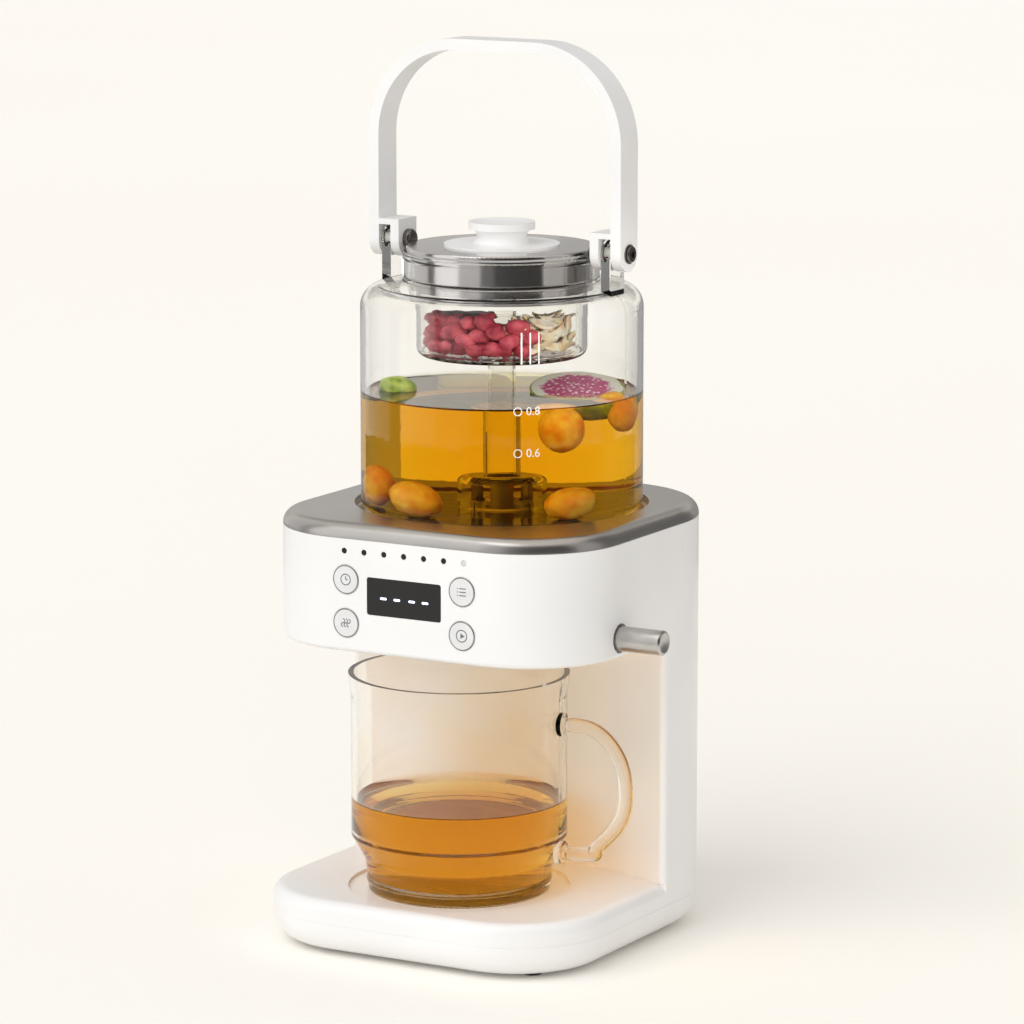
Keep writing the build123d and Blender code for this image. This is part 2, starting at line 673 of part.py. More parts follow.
# ================================================================ outlet: funnel, hose, nozzle
funnel_z0, funnel_floor = 174.0, 2.0
funnel_in_r, funnel_wall = 12.0, 2.0
funnel_flange_r, funnel_flange_t = 16.5, 1.8
pin_r = 2.0                   # lifting pin that opens the valve
chimney_wall, chimney_z = 1.95, 184.5
drain_x = 9.5                 # drain spigot beside the chimney
spigot_r, spigot_bore_r = 2.2, 1.5
spigot_len = 6.0
hose_wall = 0.8
nozzle_tip_z = 139.5
nozzle_flange_r = 8.8
nozzle_flange_t = 2.0
nozzle_bore_r = 3.0

with BuildPart() as outlet_funnel:
    with BuildSketch(Plane.XY.offset(funnel_z0)):
        Circle(funnel_in_r + funnel_wall)
    extrude(amount=plate_z - funnel_z0)
    with BuildSketch(Plane.XY.offset(plate_z)):
        Circle(funnel_flange_r)
    extrude(amount=-funnel_flange_t)
    with BuildSketch(Plane.XY.offset(funnel_z0 + funnel_floor)):
        Circle(funnel_in_r)
    extrude(amount=plate_z - funnel_z0 - funnel_floor, mode=Mode.SUBTRACT)
    with BuildSketch(Plane.XY.offset(funnel_z0)):
        Circle(pin_r + run_gap + chimney_wall)
    extrude(amount=chimney_z - funnel_z0)
    with BuildSketch(Plane.XY.offset(funnel_z0 - spigot_len)):
        with Locations((drain_x, 0)):
            Circle(spigot_r)
    extrude(amount=spigot_len)
    with BuildSketch(Plane.XY.offset(funnel_z0 - spigot_len)):
        with Locations((drain_x, 0)):
            Circle(spigot_bore_r)
    extrude(amount=spigot_len + funnel_floor, mode=Mode.SUBTRACT)
    with BuildSketch(Plane.XY.offset(funnel_z0)):
        Circle(pin_r + run_gap)
    extrude(amount=chimney_z - funnel_z0, mode=Mode.SUBTRACT)
write(outlet_funnel.part, "outlet_funnel")

with BuildPart() as outlet_nozzle:
    with BuildSketch(Plane.XY.offset(nozzle_tip_z)):
        with Locations((0, nozzle_y)):
            Circle(nozzle_r)
    extrude(amount=floor_z - nozzle_tip_z)
    chamfer(outlet_nozzle.faces().sort_by(Axis.Z)[0].edges(), 0.8)
    with BuildSketch(Plane.XY.offset(floor_z)):
        with Locations((0, nozzle_y)):
            Circle(nozzle_flange_r)
    extrude(amount=nozzle_flange_t)
    with BuildSketch(Plane.XY.offset(floor_z + nozzle_flange_t)):
        with Locations((0, nozzle_y)):
            Circle(spigot_r)
    extrude(amount=spigot_len)
    with BuildSketch(Plane.XY.offset(floor_z + nozzle_flange_t + spigot_len)):
        with Locations((0, nozzle_y)):
            Circle(spigot_bore_r)
    extrude(amount=-(spigot_len + nozzle_flange_t), mode=Mode.SUBTRACT)
    with BuildSketch(Plane.XY.offset(nozzle_tip_z)):
        with Locations((0, nozzle_y)):
            Circle(nozzle_bore_r)
    extrude(amount=floor_z - nozzle_tip_z, mode=Mode.SUBTRACT)
write(outlet_nozzle.part, "outlet_nozzle")

hose_top = Vector(drain_x, 0, funnel_z0)
hose_foot = Vector(0, nozzle_y, floor_z + nozzle_flange_t)
rise = Vector(0, 0, spigot_len + 0.5)
with BuildPart() as pour_hose:
    with BuildLine() as hose_line:
        Line(hose_top, hose_top - rise)
        Bezier(hose_top - rise, hose_top - rise * 2.1, hose_foot + rise * 2.1, hose_foot + rise)
        Line(hose_foot + rise, hose_foot)
    with BuildSketch(Plane.XY.offset(funnel_z0)):
        with Locations((drain_x, 0)):
            Circle(spigot_r + hose_wall)
            Circle(spigot_r, mode=Mode.SUBTRACT)
    sweep(path=hose_line.line)
write(pour_hose.part, "pour_hose")

# ================================================================ pour rod, ramp, yoke
# Pushing the rod in moves a ramp under the yoke, whose pin lifts the kettle's valve.
travel = 8.0
slope = 0.5
guide_z = floor_z + 1.3       # top of the guide's base
guide_wall = 2.5
guide_x0, guide_x1 = -30.0, 1.5
guide_end = 3.0
guide_wall_z = 159.5
guide_ear_r = 3.4
guide_ear_z = guide_z + 0.7
guide_screw_head_r, guide_screw_head_h = 2.2, 1.5
blade_half = 3.0
blade_x0 = -7.0
blade_z0 = guide_z + 0.2
ramp_z0 = 157.0               # ramp's height at X = 0
ramp_x0, ramp_x1 = -3.5, 11.5
hub_r, hub_x0, hub_x1 = 5.0, 10.0, 20.0
rod_spigot_r = 3.0
dimple_r, dimple_depth = 20.0, 0.5        # in the rod's end
clip_t = 1.0                  # spring clip that stops the rod
clip_let_in, clip_proud = 0.9, 0.7
clip_gap_w, clip_gap_h = 5.0, 4.0
yoke_half = 3.0
yoke_gap = 0.05
arm_z0, arm_z1 = 160.0, 165.0
arm_x0, arm_x1 = -11.0, -5.0  # arm passes beside the hose
post_top_z = 176.0
bridge_z0, bridge_z1 = 170.5, 175.5
bridge_x0, bridge_x1 = -8.0, 5.0
bridge_y0 = rod_y - blade_half - slip_gap - guide_wall
bridge_y1 = rod_y + 5.0
post_run_gap = 0.06           # around the yoke's post
pin_top_z = 185.7

with BuildPart() as rod_guide:
    with BuildSketch(Plane.XY.offset(floor_z)):
        with Locations(((guide_x0 + guide_x1) / 2, rod_y)):
            Rectangle(guide_x1 - guide_x0, 2 * (blade_half + slip_gap + guide_wall))
    extrude(amount=guide_wall_z - floor_z)
    with BuildSketch(Plane.XY.offset(floor_z)):
        with Locations(*guide_screw_places):
            Circle(guide_ear_r)
        with Locations(*[(x, y - guide_ear_r) for x, y in guide_screw_places]):
            Rectangle(2 * guide_ear_r, 2 * guide_ear_r)
    extrude(amount=guide_ear_z - floor_z)
    with BuildSketch(Plane.XY.offset(guide_z)):
        with Locations(((guide_x0 + guide_end + guide_x1 + 1) / 2, rod_y)):
            Rectangle(guide_x1 + 1 - guide_x0 - guide_end, 2 * (blade_half + slip_gap))
    extrude(amount=guide_wall_z - guide_z, mode=Mode.SUBTRACT)
    with BuildSketch(Plane.XY.offset(floor_z)):
        with Locations(((bridge_x0 + guide_x1) / 2, bridge_y0 + guide_wall / 2)):
            Rectangle(guide_x1 - bridge_x0, guide_wall)
    extrude(amount=bridge_z1 - floor_z)
    with BuildSketch(Plane.XY.offset(bridge_z0)):
        with Locations(((bridge_x0 + bridge_x1) / 2, (bridge_y0 + bridge_y1) / 2)):
            Rectangle(bridge_x1 - bridge_x0, bridge_y1 - bridge_y0)
    extrude(amount=bridge_z1 - bridge_z0)
    with BuildSketch(Plane.XY.offset(bridge_z0)):
        with Locations((0, rod_y)):
            Circle(rod_spigot_r + post_run_gap)
    extrude(amount=bridge_z1 - bridge_z0, mode=Mode.SUBTRACT)
    with BuildSketch(Plane.XY.offset(floor_z)):
        with Locations(*guide_screw_places):
            Circle(guide_screw_r + 2 * slip_gap)
    extrude(amount=guide_ear_z - floor_z, mode=Mode.SUBTRACT)
write(rod_guide.part, "rod_guide")

with BuildPart() as guide_screws:
    for x, y in guide_screw_places:
        add(screw(x, y, guide_ear_z, guide_screw_head_r, guide_screw_head_h, guide_screw_r,
                  guide_ear_z - floor_z + guide_pilot - 0.2))
write(guide_screws.part, "guide_screws")

with BuildPart() as rod_bush:
    with BuildSketch(Plane.YZ.offset(bush_in_x)):
        with Locations((rod_y, rod_z)):
            Circle(rod_r + run_gap + bush_wall)
            Circle(rod_r + run_gap, mode=Mode.SUBTRACT)
    extrude(amount=bush_len)
write(rod_bush.part, "rod_bush")

with BuildPart() as pour_rod:
    with BuildSketch(Plane.YZ.offset(hub_x1)):
        with Locations((rod_y, rod_z)):
            Circle(rod_r)
    extrude(amount=body_half_w + rod_out - hub_x1)
    chamfer(pour_rod.faces().sort_by(Axis.X)[-1].edges(), 0.8)
    with BuildSketch(Plane.YZ.offset(hub_x0)):
        with Locations((rod_y, rod_z)):
            Circle(rod_spigot_r)
    extrude(amount=hub_x1 - hub_x0)
    with Locations((body_half_w + rod_out + dimple_r - dimple_depth, rod_y, rod_z)):
        Sphere(dimple_r, mode=Mode.SUBTRACT)
    with BuildSketch(Plane.YZ.offset(bush_in_x - slip_gap)):
        with Locations((rod_y, rod_z)):
            Circle(rod_r)
            Circle(rod_r - clip_let_in, mode=Mode.SUBTRACT)
    extrude(amount=-clip_t, mode=Mode.SUBTRACT)
write(pour_rod.part, "pour_rod")

with BuildPart() as rod_clip:
    with BuildSketch(Plane.YZ.offset(bush_in_x - slip_gap)):
        with Locations((rod_y, rod_z)):
            Circle(rod_r + clip_proud)
            Circle(rod_r - clip_let_in, mode=Mode.SUBTRACT)
        with Locations((rod_y - rod_r, rod_z)):
            Rectangle(clip_gap_w, clip_gap_h, mode=Mode.SUBTRACT)
    extrude(amount=-clip_t)
write(rod_clip.part, "rod_clip")

with BuildPart() as lift_ramp:
    with BuildSketch(Plane.XZ.offset(-rod_y + blade_half)):
        with BuildLine():
            Polyline(
                (blade_x0, blade_z0),
                (ramp_x1, blade_z0),
                (ramp_x1, ramp_z0 + slope * ramp_x1),
                (ramp_x0, ramp_z0 + slope * ramp_x0),
                (blade_x0, ramp_z0 + slope * ramp_x0),
                close=True,
            )
        make_face()
    extrude(amount=-2 * blade_half)
    with BuildSketch(Plane.YZ.offset(hub_x0)):
        with Locations((rod_y, rod_z)):
            Circle(hub_r)
    extrude(amount=hub_x1 - hub_x0)
    with BuildSketch(Plane.YZ.offset(hub_x0)):
        with Locations((rod_y, rod_z)):
            Circle(rod_spigot_r)
    extrude(amount=hub_x1 - hub_x0, mode=Mode.SUBTRACT)
write(lift_ramp.part, "lift_ramp")

with BuildPart() as lift_yoke:
    with BuildSketch(Plane.XZ.offset(-rod_y + yoke_half)):
        with BuildLine():
            Polyline(
                (-yoke_half, ramp_z0 - slope * yoke_half + yoke_gap),
                (yoke_half, ramp_z0 + slope * yoke_half + yoke_gap),
                (yoke_half, arm_z1),
                (-yoke_half, arm_z1),
                close=True,
            )
        make_face()
    extrude(amount=-2 * yoke_half)
    with BuildSketch(Plane.XY.offset(arm_z0)):
        with Locations(((arm_x0 + yoke_half) / 2, rod_y), ((arm_x0 + yoke_half) / 2, 0)):
            Rectangle(yoke_half - arm_x0, 2 * yoke_half)
        with Locations(((arm_x0 + arm_x1) / 2, rod_y / 2)):
            Rectangle(arm_x1 - arm_x0, 2 * yoke_half - rod_y)
    extrude(amount=arm_z1 - arm_z0)
    with BuildSketch(Plane.XY.offset(arm_z1)):
        Circle(pin_r)
    extrude(amount=pin_top_z - arm_z1)
    with BuildSketch(Plane.XY.offset(arm_z1)):
        with Locations((0, rod_y)):
            Circle(rod_spigot_r)
    extrude(amount=post_top_z - arm_z1)
write(lift_yoke.part, "lift_yoke")

rod_spring_r, rod_wire_r, rod_turns = 2.4, 0.4, 9
rod_spring = coil((blade_x0, rod_y, rod_z), (-1, 0, 0), blade_x0 - guide_x0 - guide_end,
                  rod_spring_r, rod_wire_r, rod_turns)
write(rod_spring, "rod_spring")

# ================================================================ front panel
button_proud = 0.4
button_travel = 0.8
button_flange, button_flange_t = 1.0, 1.0
button_slip = 0.2             # behind the panel
stem_r = 2.0
switch_w, switch_t, switch_cap_r = 6.0, 1.4, 1.75
switch_cap_y = -82.4
button_stem_y = switch_cap_y - button_travel - slip_gap
window_flange, window_flange_t = 2.0, 1.0
window_let_in = 0.1           # its face behind the panel's
board_t = 1.6
board_screw_head_r, board_screw_head_h = 2.0, 1.2
board_w, board_z0, board_z1 = 80.0, 150.0, 195.0
module_w, module_h = 36.0, 15.0

for name, x, z in (
    ("button_schedule", -button_x, button_z[1]),
    ("button_warm", -button_x, button_z[0]),
    ("button_mode", button_x, button_z[1]),
    ("button_start", button_x, button_z[0]),
):
    with BuildPart() as button:
        with BuildSketch(Plane.XZ.offset(-head_front_y + button_proud)):
            with Locations((x, z)):
                Circle(button_r)
        extrude(amount=-(button_proud + wall + button_slip))
        fillet(button.faces().sort_by(Axis.Y)[0].edges(), 0.3)
        with BuildSketch(Plane.XZ.offset(-front_in_y - button_slip)):
            with Locations((x, z)):
                Circle(button_r + button_flange)
        extrude(amount=-button_flange_t)
        with BuildSketch(Plane.XZ.offset(-front_in_y - button_slip - button_flange_t)):
            with Locations((x, z)):
                Circle(stem_r)
        extrude(amount=-(button_stem_y - front_in_y - button_slip - button_flange_t))
    write(button.part, name)

with BuildPart() as tact_switches:
    with BuildSketch(Plane.XZ.offset(-board_front_y)):
        with Locations(*[(s * button_x, z) for s in (-1, 1) for z in button_z]):
            Rectangle(switch_w, switch_w)
    extrude(amount=switch_t)
    with BuildSketch(Plane.XZ.offset(-board_front_y + switch_t)):
        with Locations(*[(s * button_x, z) for s in (-1, 1) for z in button_z]):
            Circle(switch_cap_r)
    extrude(amount=board_front_y - switch_t - switch_cap_y)
write(tact_switches.part, "tact_switches")

with BuildPart() as display_window:
    with BuildSketch(Plane.XZ.offset(-head_front_y - window_let_in)):
        with Locations((0, window_z)):
            RectangleRounded(window_w, window_h, window_corner_r)
    extrude(amount=-(wall - window_let_in))
    with BuildSketch(Plane.XZ.offset(-front_in_y)):
        with Locations((0, window_z)):
            RectangleRounded(window_w + 2 * window_flange, window_h + 2 * window_flange, 2)
    extrude(amount=-window_flange_t)
write(display_window.part, "display_window")

with BuildPart() as display_module:
    with BuildSketch(Plane.XZ.offset(-front_in_y - window_flange_t)):
        with Locations((0, window_z)):
            Rectangle(module_w, module_h)
    extrude(amount=-(board_front_y - front_in_y - window_flange_t))
write(display_module.part, "display_module")

with BuildPart() as status_leds:
    with BuildSketch(Plane.XZ.offset(-board_front_y)):
        with Locations(*led_places):
            Circle(led_r)
    extrude(amount=board_front_y - head_front_y)
    fillet(status_leds.faces().group_by(Axis.Y)[0].edges(), 0.25)
write(status_leds.part, "status_leds")

with BuildPart() as control_board:
    with BuildSketch(Plane.XZ.offset(-board_front_y)):
        with Locations((0, (board_z0 + board_z1) / 2)):
            RectangleRounded(board_w, board_z1 - board_z0, 2)
        with Locations(*board_boss):
            Circle(board_screw_r + slip_gap, mode=Mode.SUBTRACT)
    extrude(amount=-board_t)
write(control_board.part, "control_board")

with BuildPart() as board_screws:
    for x, z in board_boss:
        add(screw(x, board_front_y + board_t, z, board_screw_head_r, board_screw_head_h, board_screw_r,
                  board_screw_len, (0, 1, 0)))
write(board_screws.part, "board_screws")

# ================================================================ kettle
shoulder_corner_z = 303.4     # outer wall and shoulder slope meet here, before rounding
shoulder_slope = (neck_root_z - shoulder_corner_z) / (kettle_r - neck_r)
shoulder_drop = kettle_wall * sqrt(1 + shoulder_slope ** 2)
kettle_in_r = kettle_r - kettle_wall
in_corner_z = shoulder_corner_z + shoulder_slope * kettle_wall - shoulder_drop
in_root_z = shoulder_corner_z + shoulder_slope * (kettle_r - neck_in_r) - shoulder_drop
bead_z = 316.8
pivot_z = 323.0
lug_r = 6.5
bolt_r = 2.0
bush_r = 2.55
bush_lip, bush_lip_t = 1.6, 0.3
valve_hole_r = 8.1

with BuildPart() as kettle_hollow:
    with BuildSketch(Plane.XZ) as profile:
        with BuildLine():
            Polyline(
                (0, inner_floor_z),
                (kettle_in_r, inner_floor_z),
                (kettle_in_r, in_corner_z),
                (neck_in_r, in_root_z),
                (neck_in_r, rim_z + 1),
                (0, rim_z + 1),
                close=True,
            )
        make_face()
        fillet(profile.vertices().sort_by_distance((kettle_in_r, inner_floor_z, 0))[0],
               kettle_edge_r - kettle_wall)
        fillet(profile.vertices().sort_by_distance((kettle_in_r, in_corner_z, 0))[0],
               shoulder_r - kettle_wall)
        fillet(profile.vertices().sort_by_distance((neck_in_r, in_root_z, 0))[0], 2.6)
    revolve(axis=Axis.Z)

with BuildPart() as kettle_glass:
    with BuildSketch(Plane.XZ) as profile:
        with BuildLine():
            Polyline(
                (0, kettle_z),
                (kettle_r, kettle_z),
                (kettle_r, shoulder_corner_z),
                (neck_r, neck_root_z),
                (neck_r, bead_z),
                (rim_bead_r, bead_z + 0.8),
                (rim_bead_r, rim_z),
                (0, rim_z),
                close=True,
            )
        make_face()
        fillet(profile.vertices().sort_by_distance((kettle_r, kettle_z, 0))[0], kettle_edge_r)
        fillet(profile.vertices().sort_by_distance((kettle_r, shoulder_corner_z, 0))[0], shoulder_r)
        fillet(profile.vertices().sort_by_distance((neck_r, neck_root_z, 0))[0], 1.5)
        fillet(profile.vertices().sort_by_distance((rim_bead_r, rim_z, 0))[0], 0.6)
    revolve(axis=Axis.Z)
    for side in (-1, 1):
        with BuildSketch(Plane.YZ.offset(side * lug_x0)):
            with Locations((0, pivot_z)):
                Circle(lug_r)
            with Locations((0, (pivot_z + shoulder_z) / 2)):
                Rectangle(2 * lug_r, pivot_z - shoulder_z)
        extrude(amount=side * (lug_x1 - lug_x0))
    with BuildSketch(Plane.YZ.offset(-lug_x1)):
        with Locations((0, pivot_z)):
            Circle(bush_r + run_gap)
    extrude(amount=2 * lug_x1, mode=Mode.SUBTRACT)
    add(kettle_hollow.part, mode=Mode.SUBTRACT)
    with BuildSketch(Plane.XY.offset(kettle_z)):
        Circle(valve_hole_r)
    extrude(amount=kettle_floor, mode=Mode.SUBTRACT)
write(kettle_glass.part, "kettle_glass")

with BuildPart() as lug_bushes:
    for side in (-1, 1):
        with BuildSketch(Plane.YZ.offset(side * (lug_x0 - bush_lip_t))):
            with Locations((0, pivot_z)):
                Circle(bush_r)
        extrude(amount=side * (lug_x1 - lug_x0 + 2 * bush_lip_t))
        for x in (lug_x0 - bush_lip_t, lug_x1):
            with BuildSketch(Plane.YZ.offset(side * x)):
                with Locations((0, pivot_z)):
                    Circle(bush_r + bush_lip)
            extrude(amount=side * bush_lip_t)
    with BuildSketch(Plane.YZ.offset(-lug_x1 - 1)):
        with Locations((0, pivot_z)):
            Circle(bolt_r + run_gap)
    extrude(amount=2 * lug_x1 + 2, mode=Mode.SUBTRACT)
write(lug_bushes.part, "lug_bushes")

# ================================================================ kettle valve
gasket_t = 0.8
flange_r, flange_t = 11.0, 2.0
barrel_r = 7.9
barrel_z0 = 190.0
valve_bore_r = 4.2
valve_stem_r = 1.6
valve_z = inner_floor_z + gasket_t + flange_t          # seat of the poppet
nut_h = 4.7
poppet_r, poppet_t = 6.0, 2.0
stem_gap = 0.3                # between the yoke's pin and the stem
valve_web = 2.0               # closed end of the barrel, which guides the stem
drain_hole_r, drain_ring_r, drain_holes = 0.9, 2.95, 6
cage_in_r, cage_out_r = 9.2, 10.8
cage_top_z = valve_z + 10.4
cage_top_t, cage_hole_r = 1.2, 2.4
cage_window_z0, cage_window_h, cage_window_w = 1.2, 8.0, 13.0
cage_window_x0, cage_window_x1 = 3.0, 17.0
spring_r, spring_wire_r, spring_turns = 3.3, 0.3, 4

with BuildPart() as valve_body:
    with BuildSketch(Plane.XY.offset(barrel_z0)):
        Circle(barrel_r)
    extrude(amount=valve_z - barrel_z0)
    with BuildSketch(Plane.XY.offset(valve_z)):
        Circle(flange_r)
    extrude(amount=-flange_t)
    with BuildSketch(Plane.XY.offset(barrel_z0 + valve_web)):
        Circle(valve_bore_r)
    extrude(amount=valve_z - barrel_z0 - valve_web, mode=Mode.SUBTRACT)
    with BuildSketch(Plane.XY.offset(barrel_z0)):
        Circle(valve_stem_r + run_gap)
        with PolarLocations(drain_ring_r, drain_holes):
            Circle(drain_hole_r)
    extrude(amount=valve_web, mode=Mode.SUBTRACT)
write(valve_body.part, "valve_body")

with BuildPart() as valve_gaskets:
    for z, outer in ((inner_floor_z, flange_r), (kettle_z - gasket_t, flange_r - 0.5)):
        with BuildSketch(Plane.XY.offset(z)):
            Circle(outer)
            Circle(barrel_r, mode=Mode.SUBTRACT)
        extrude(amount=gasket_t)
write(valve_gaskets.part, "valve_gaskets")

with BuildPart() as valve_nut:
    with BuildSketch(Plane.XY.offset(kettle_z - gasket_t)):
        RegularPolygon(flange_r - 0.5, 6)
        Circle(barrel_r, mode=Mode.SUBTRACT)
    extrude(amount=-nut_h)
write(valve_nut.part, "valve_nut")

with BuildPart() as valve_poppet:
    with BuildSketch(Plane.XY.offset(valve_z)):
        Circle(poppet_r)
    extrude(amount=poppet_t)
    fillet(valve_poppet.faces().sort_by(Axis.Z)[-1].edges(), 0.6)
    with BuildSketch(Plane.XY.offset(valve_z)):
        Circle(valve_stem_r)
    extrude(amount=-(valve_z - pin_top_z - stem_gap))
write(valve_poppet.part, "valve_poppet")

with BuildPart() as valve_cage:
    with BuildSketch(Plane.XY.offset(valve_z)):
        Circle(cage_out_r)
        Circle(cage_in_r, mode=Mode.SUBTRACT)
    extrude(amount=cage_top_z - valve_z)
    with BuildSketch(Plane.XY.offset(cage_top_z)):
        Circle(cage_out_r)
        Circle(cage_hole_r, mode=Mode.SUBTRACT)
    extrude(amount=-cage_top_t)
    for angle in (0, 120, 240):
        with Locations(Location((0, 0, valve_z + cage_window_z0 + cage_window_h / 2), (0, 0, angle))):
            with Locations(((cage_window_x0 + cage_window_x1) / 2, 0, 0)):
                Box(cage_window_x1 - cage_window_x0, cage_window_w, cage_window_h, mode=Mode.SUBTRACT)
write(valve_cage.part, "valve_cage")

valve_spring = coil((0, 0, valve_z + poppet_t), (0, 0, 1), cage_top_z - cage_top_t - valve_z - poppet_t,
                    spring_r, spring_wire_r, spring_turns)
write(valve_spring, "valve_spring")

# ================================================================ riser tube over the valve
riser_r, riser_wall = 6.5, 1.3
riser_top_z = 296.0
bell_r, bell_wall = 15.7, 1.3
bell_top_z = 217.6
bell_edge_r = 3.0
bell_step = 2.0               # the bell's inside narrows under its top
mouth_w, mouth_h = 20.0, 3.8  # three mouths at the bell's foot

with BuildPart() as riser_tube:
    with BuildSketch(Plane.XY.offset(inner_floor_z)):
        Circle(bell_r)
    extrude(amount=bell_top_z - inner_floor_z)
    fillet(riser_tube.faces().sort_by(Axis.Z)[-1].edges(), bell_edge_r)
    with BuildSketch(Plane.XY.offset(bell_top_z - 1)):
        Circle(riser_r)
    extrude(amount=riser_top_z - bell_top_z + 1)
    with BuildSketch(Plane.XY.offset(inner_floor_z)):
        Circle(bell_r - bell_wall)
    extrude(amount=bell_top_z - bell_wall - inner_floor_z - bell_step, mode=Mode.SUBTRACT)
    with BuildSketch(Plane.XY.offset(bell_top_z - bell_wall - bell_step)):
        Circle(bell_r - bell_wall - bell_step)
    extrude(amount=bell_step, mode=Mode.SUBTRACT)
    with BuildSketch(Plane.XY.offset(bell_top_z - bell_wall)):
        Circle(riser_r - riser_wall)
    extrude(amount=riser_top_z, mode=Mode.SUBTRACT)
    for angle in (60, 180, 300):
        with Locations(Location((0, 0, inner_floor_z + mouth_h / 2), (0, 0, angle))):
            with Locations((bell_r, 0, 0)):
                Box(bell_r - riser_r + bell_wall, mouth_w, mouth_h, mode=Mode.SUBTRACT)
write(riser_tube.part, "riser_tube")

# ================================================================ bail handle
bail_half_d = 8.2
bail_top_z = 418.5
bail_corner_r = 46.0
bridge_low_z = 330.2
bridge_t = 2.6
bolt_in_nut = 2.3
bolt_end_x = cheek_x0 - bolt_in_nut
washer_r, washer_t = 4.5, 0.6
bolt_head_r, bolt_head_h, bolt_head_edge_r = 3.8, 1.4, 0.6
bolt_hex_r, bolt_hex_depth = 1.8, 1.0
nut_r, nut_edge_r = 4.75, 1.6

with BuildPart() as bail_handle:
    with BuildSketch(Plane.XZ.offset(bail_half_d)) as bow:
        for inset, mode in ((0, Mode.ADD), (bail_t, Mode.SUBTRACT)):
            with BuildSketch(mode=mode) as arch:
                with Locations((0, (pivot_z + bail_top_z - inset) / 2)):
                    Rectangle(2 * (bail_half_w - inset), bail_top_z - inset - pivot_z)
                fillet(arch.vertices().group_by(Axis.Y)[-1], bail_corner_r - inset)
    extrude(amount=-2 * bail_half_d)
    for side in (-1, 1):
        with BuildSketch(Plane.YZ.offset(side * (bail_half_w - bail_t))):
            with Locations((0, pivot_z)):
                Circle(bail_half_d)
        extrude(amount=side * bail_t)
        with BuildSketch(Plane.YZ.offset(side * cheek_x0)):
            with Locations((0, pivot_z)):
                Circle(bail_half_d)
            with Locations((0, (pivot_z + bridge_low_z + bridge_t) / 2)):
                Rectangle(2 * bail_half_d, bridge_low_z + bridge_t - pivot_z)
        extrude(amount=side * (cheek_x1 - cheek_x0))
        with BuildSketch(Plane.YZ.offset(side * cheek_x1)):
            with Locations((0, bridge_low_z + bridge_t / 2)):
                Rectangle(2 * bail_half_d, bridge_t)
        extrude(amount=side * (bail_half_w - bail_t - cheek_x1))
    with BuildSketch(Plane.YZ.offset(-bail_half_w)):
        with Locations((0, pivot_z)):
            Circle(bolt_r)
    extrude(amount=2 * bail_half_w, mode=Mode.SUBTRACT)
write(bail_handle.part, "bail_handle")

with BuildPart() as bail_bolts:
    with BuildSketch(Plane.YZ.offset(bail_half_w)):
        with Locations((0, pivot_z)):
            Circle(washer_r)
    extrude(amount=washer_t)
    with BuildSketch(Plane.YZ.offset(bail_half_w + washer_t)):
        with Locations((0, pivot_z)):
            Circle(bolt_head_r)
    extrude(amount=bolt_head_h)
    fillet(bail_bolts.faces().sort_by(Axis.X)[-1].edges(), bolt_head_edge_r)
    with BuildSketch(Plane.YZ.offset(bail_half_w + washer_t + bolt_head_h)):
        with Locations((0, pivot_z)):
            RegularPolygon(bolt_hex_r, 6)
    extrude(amount=-bolt_hex_depth, mode=Mode.SUBTRACT)
    with BuildSketch(Plane.YZ.offset(bail_half_w)):
        with Locations((0, pivot_z)):
            Circle(bolt_r)
    extrude(amount=-(bail_half_w - bolt_end_x))
    mirror(about=Plane.YZ)
write(bail_bolts.part, "bail_bolts")

with BuildPart() as bail_nuts:
    with BuildSketch(Plane.YZ.offset(cheek_x0)):
        with Locations((0, pivot_z)):
            Circle(nut_r)
    extrude(amount=-nut_t)
    fillet(bail_nuts.faces().sort_by(Axis.X)[0].edges(), nut_edge_r)
    with BuildSketch(Plane.YZ.offset(cheek_x0)):
        with Locations((0, pivot_z)):
            Circle(bolt_r)
    extrude(amount=-(cheek_x0 - bolt_end_x), mode=Mode.SUBTRACT)
    mirror(about=Plane.YZ)
write(bail_nuts.part, "bail_nuts")

# ================================================================ infuser
band_gap = 0.7                # between the collar's band and the neck
band_r, band_t = neck_in_r - band_gap, 0.8
band_z0 = 301.7
lip_w, lip_t = 2.3, 1.0       # the turned-in lip that the cup's bead rests on
lip_in_r = band_r - lip_w
flange_in = 0.6               # the flange ends inside the glass bead
flange_out_r = rim_bead_r - flange_in
cup_gap = 0.3                 # between cup and lip
cup_r, cup_wall = lip_in_r - cup_gap, 2.0
cup_z0 = 272.0
cup_rim_z = 306.0
cup_bead_gap = 0.2
cup_bead_r = band_r - band_t - cup_bead_gap
cup_floor = 2.5
cup_edge_r = 4.0
strainer_r = 1.2
strainer_ring_r = (17.0, 27.0)
strainer_counts = (12, 18)
sleeve_in_r, sleeve_out_r = 7.0, 9.0
sleeve_z = 292.0

with BuildPart() as infuser_collar:
    with BuildSketch(Plane.XY.offset(band_z0)):
        Circle(band_r)
        Circle(band_r - band_t, mode=Mode.SUBTRACT)
    extrude(amount=rim_z - band_z0)
    with BuildSketch(Plane.XY.offset(band_z0)):
        Circle(band_r)
        Circle(lip_in_r, mode=Mode.SUBTRACT)
    extrude(amount=lip_t)
    with BuildSketch(Plane.XY.offset(rim_z)):
        Circle(flange_out_r)
        Circle(band_r - band_t, mode=Mode.SUBTRACT)
    extrude(amount=band_t)
write(infuser_collar.part, "infuser_collar")

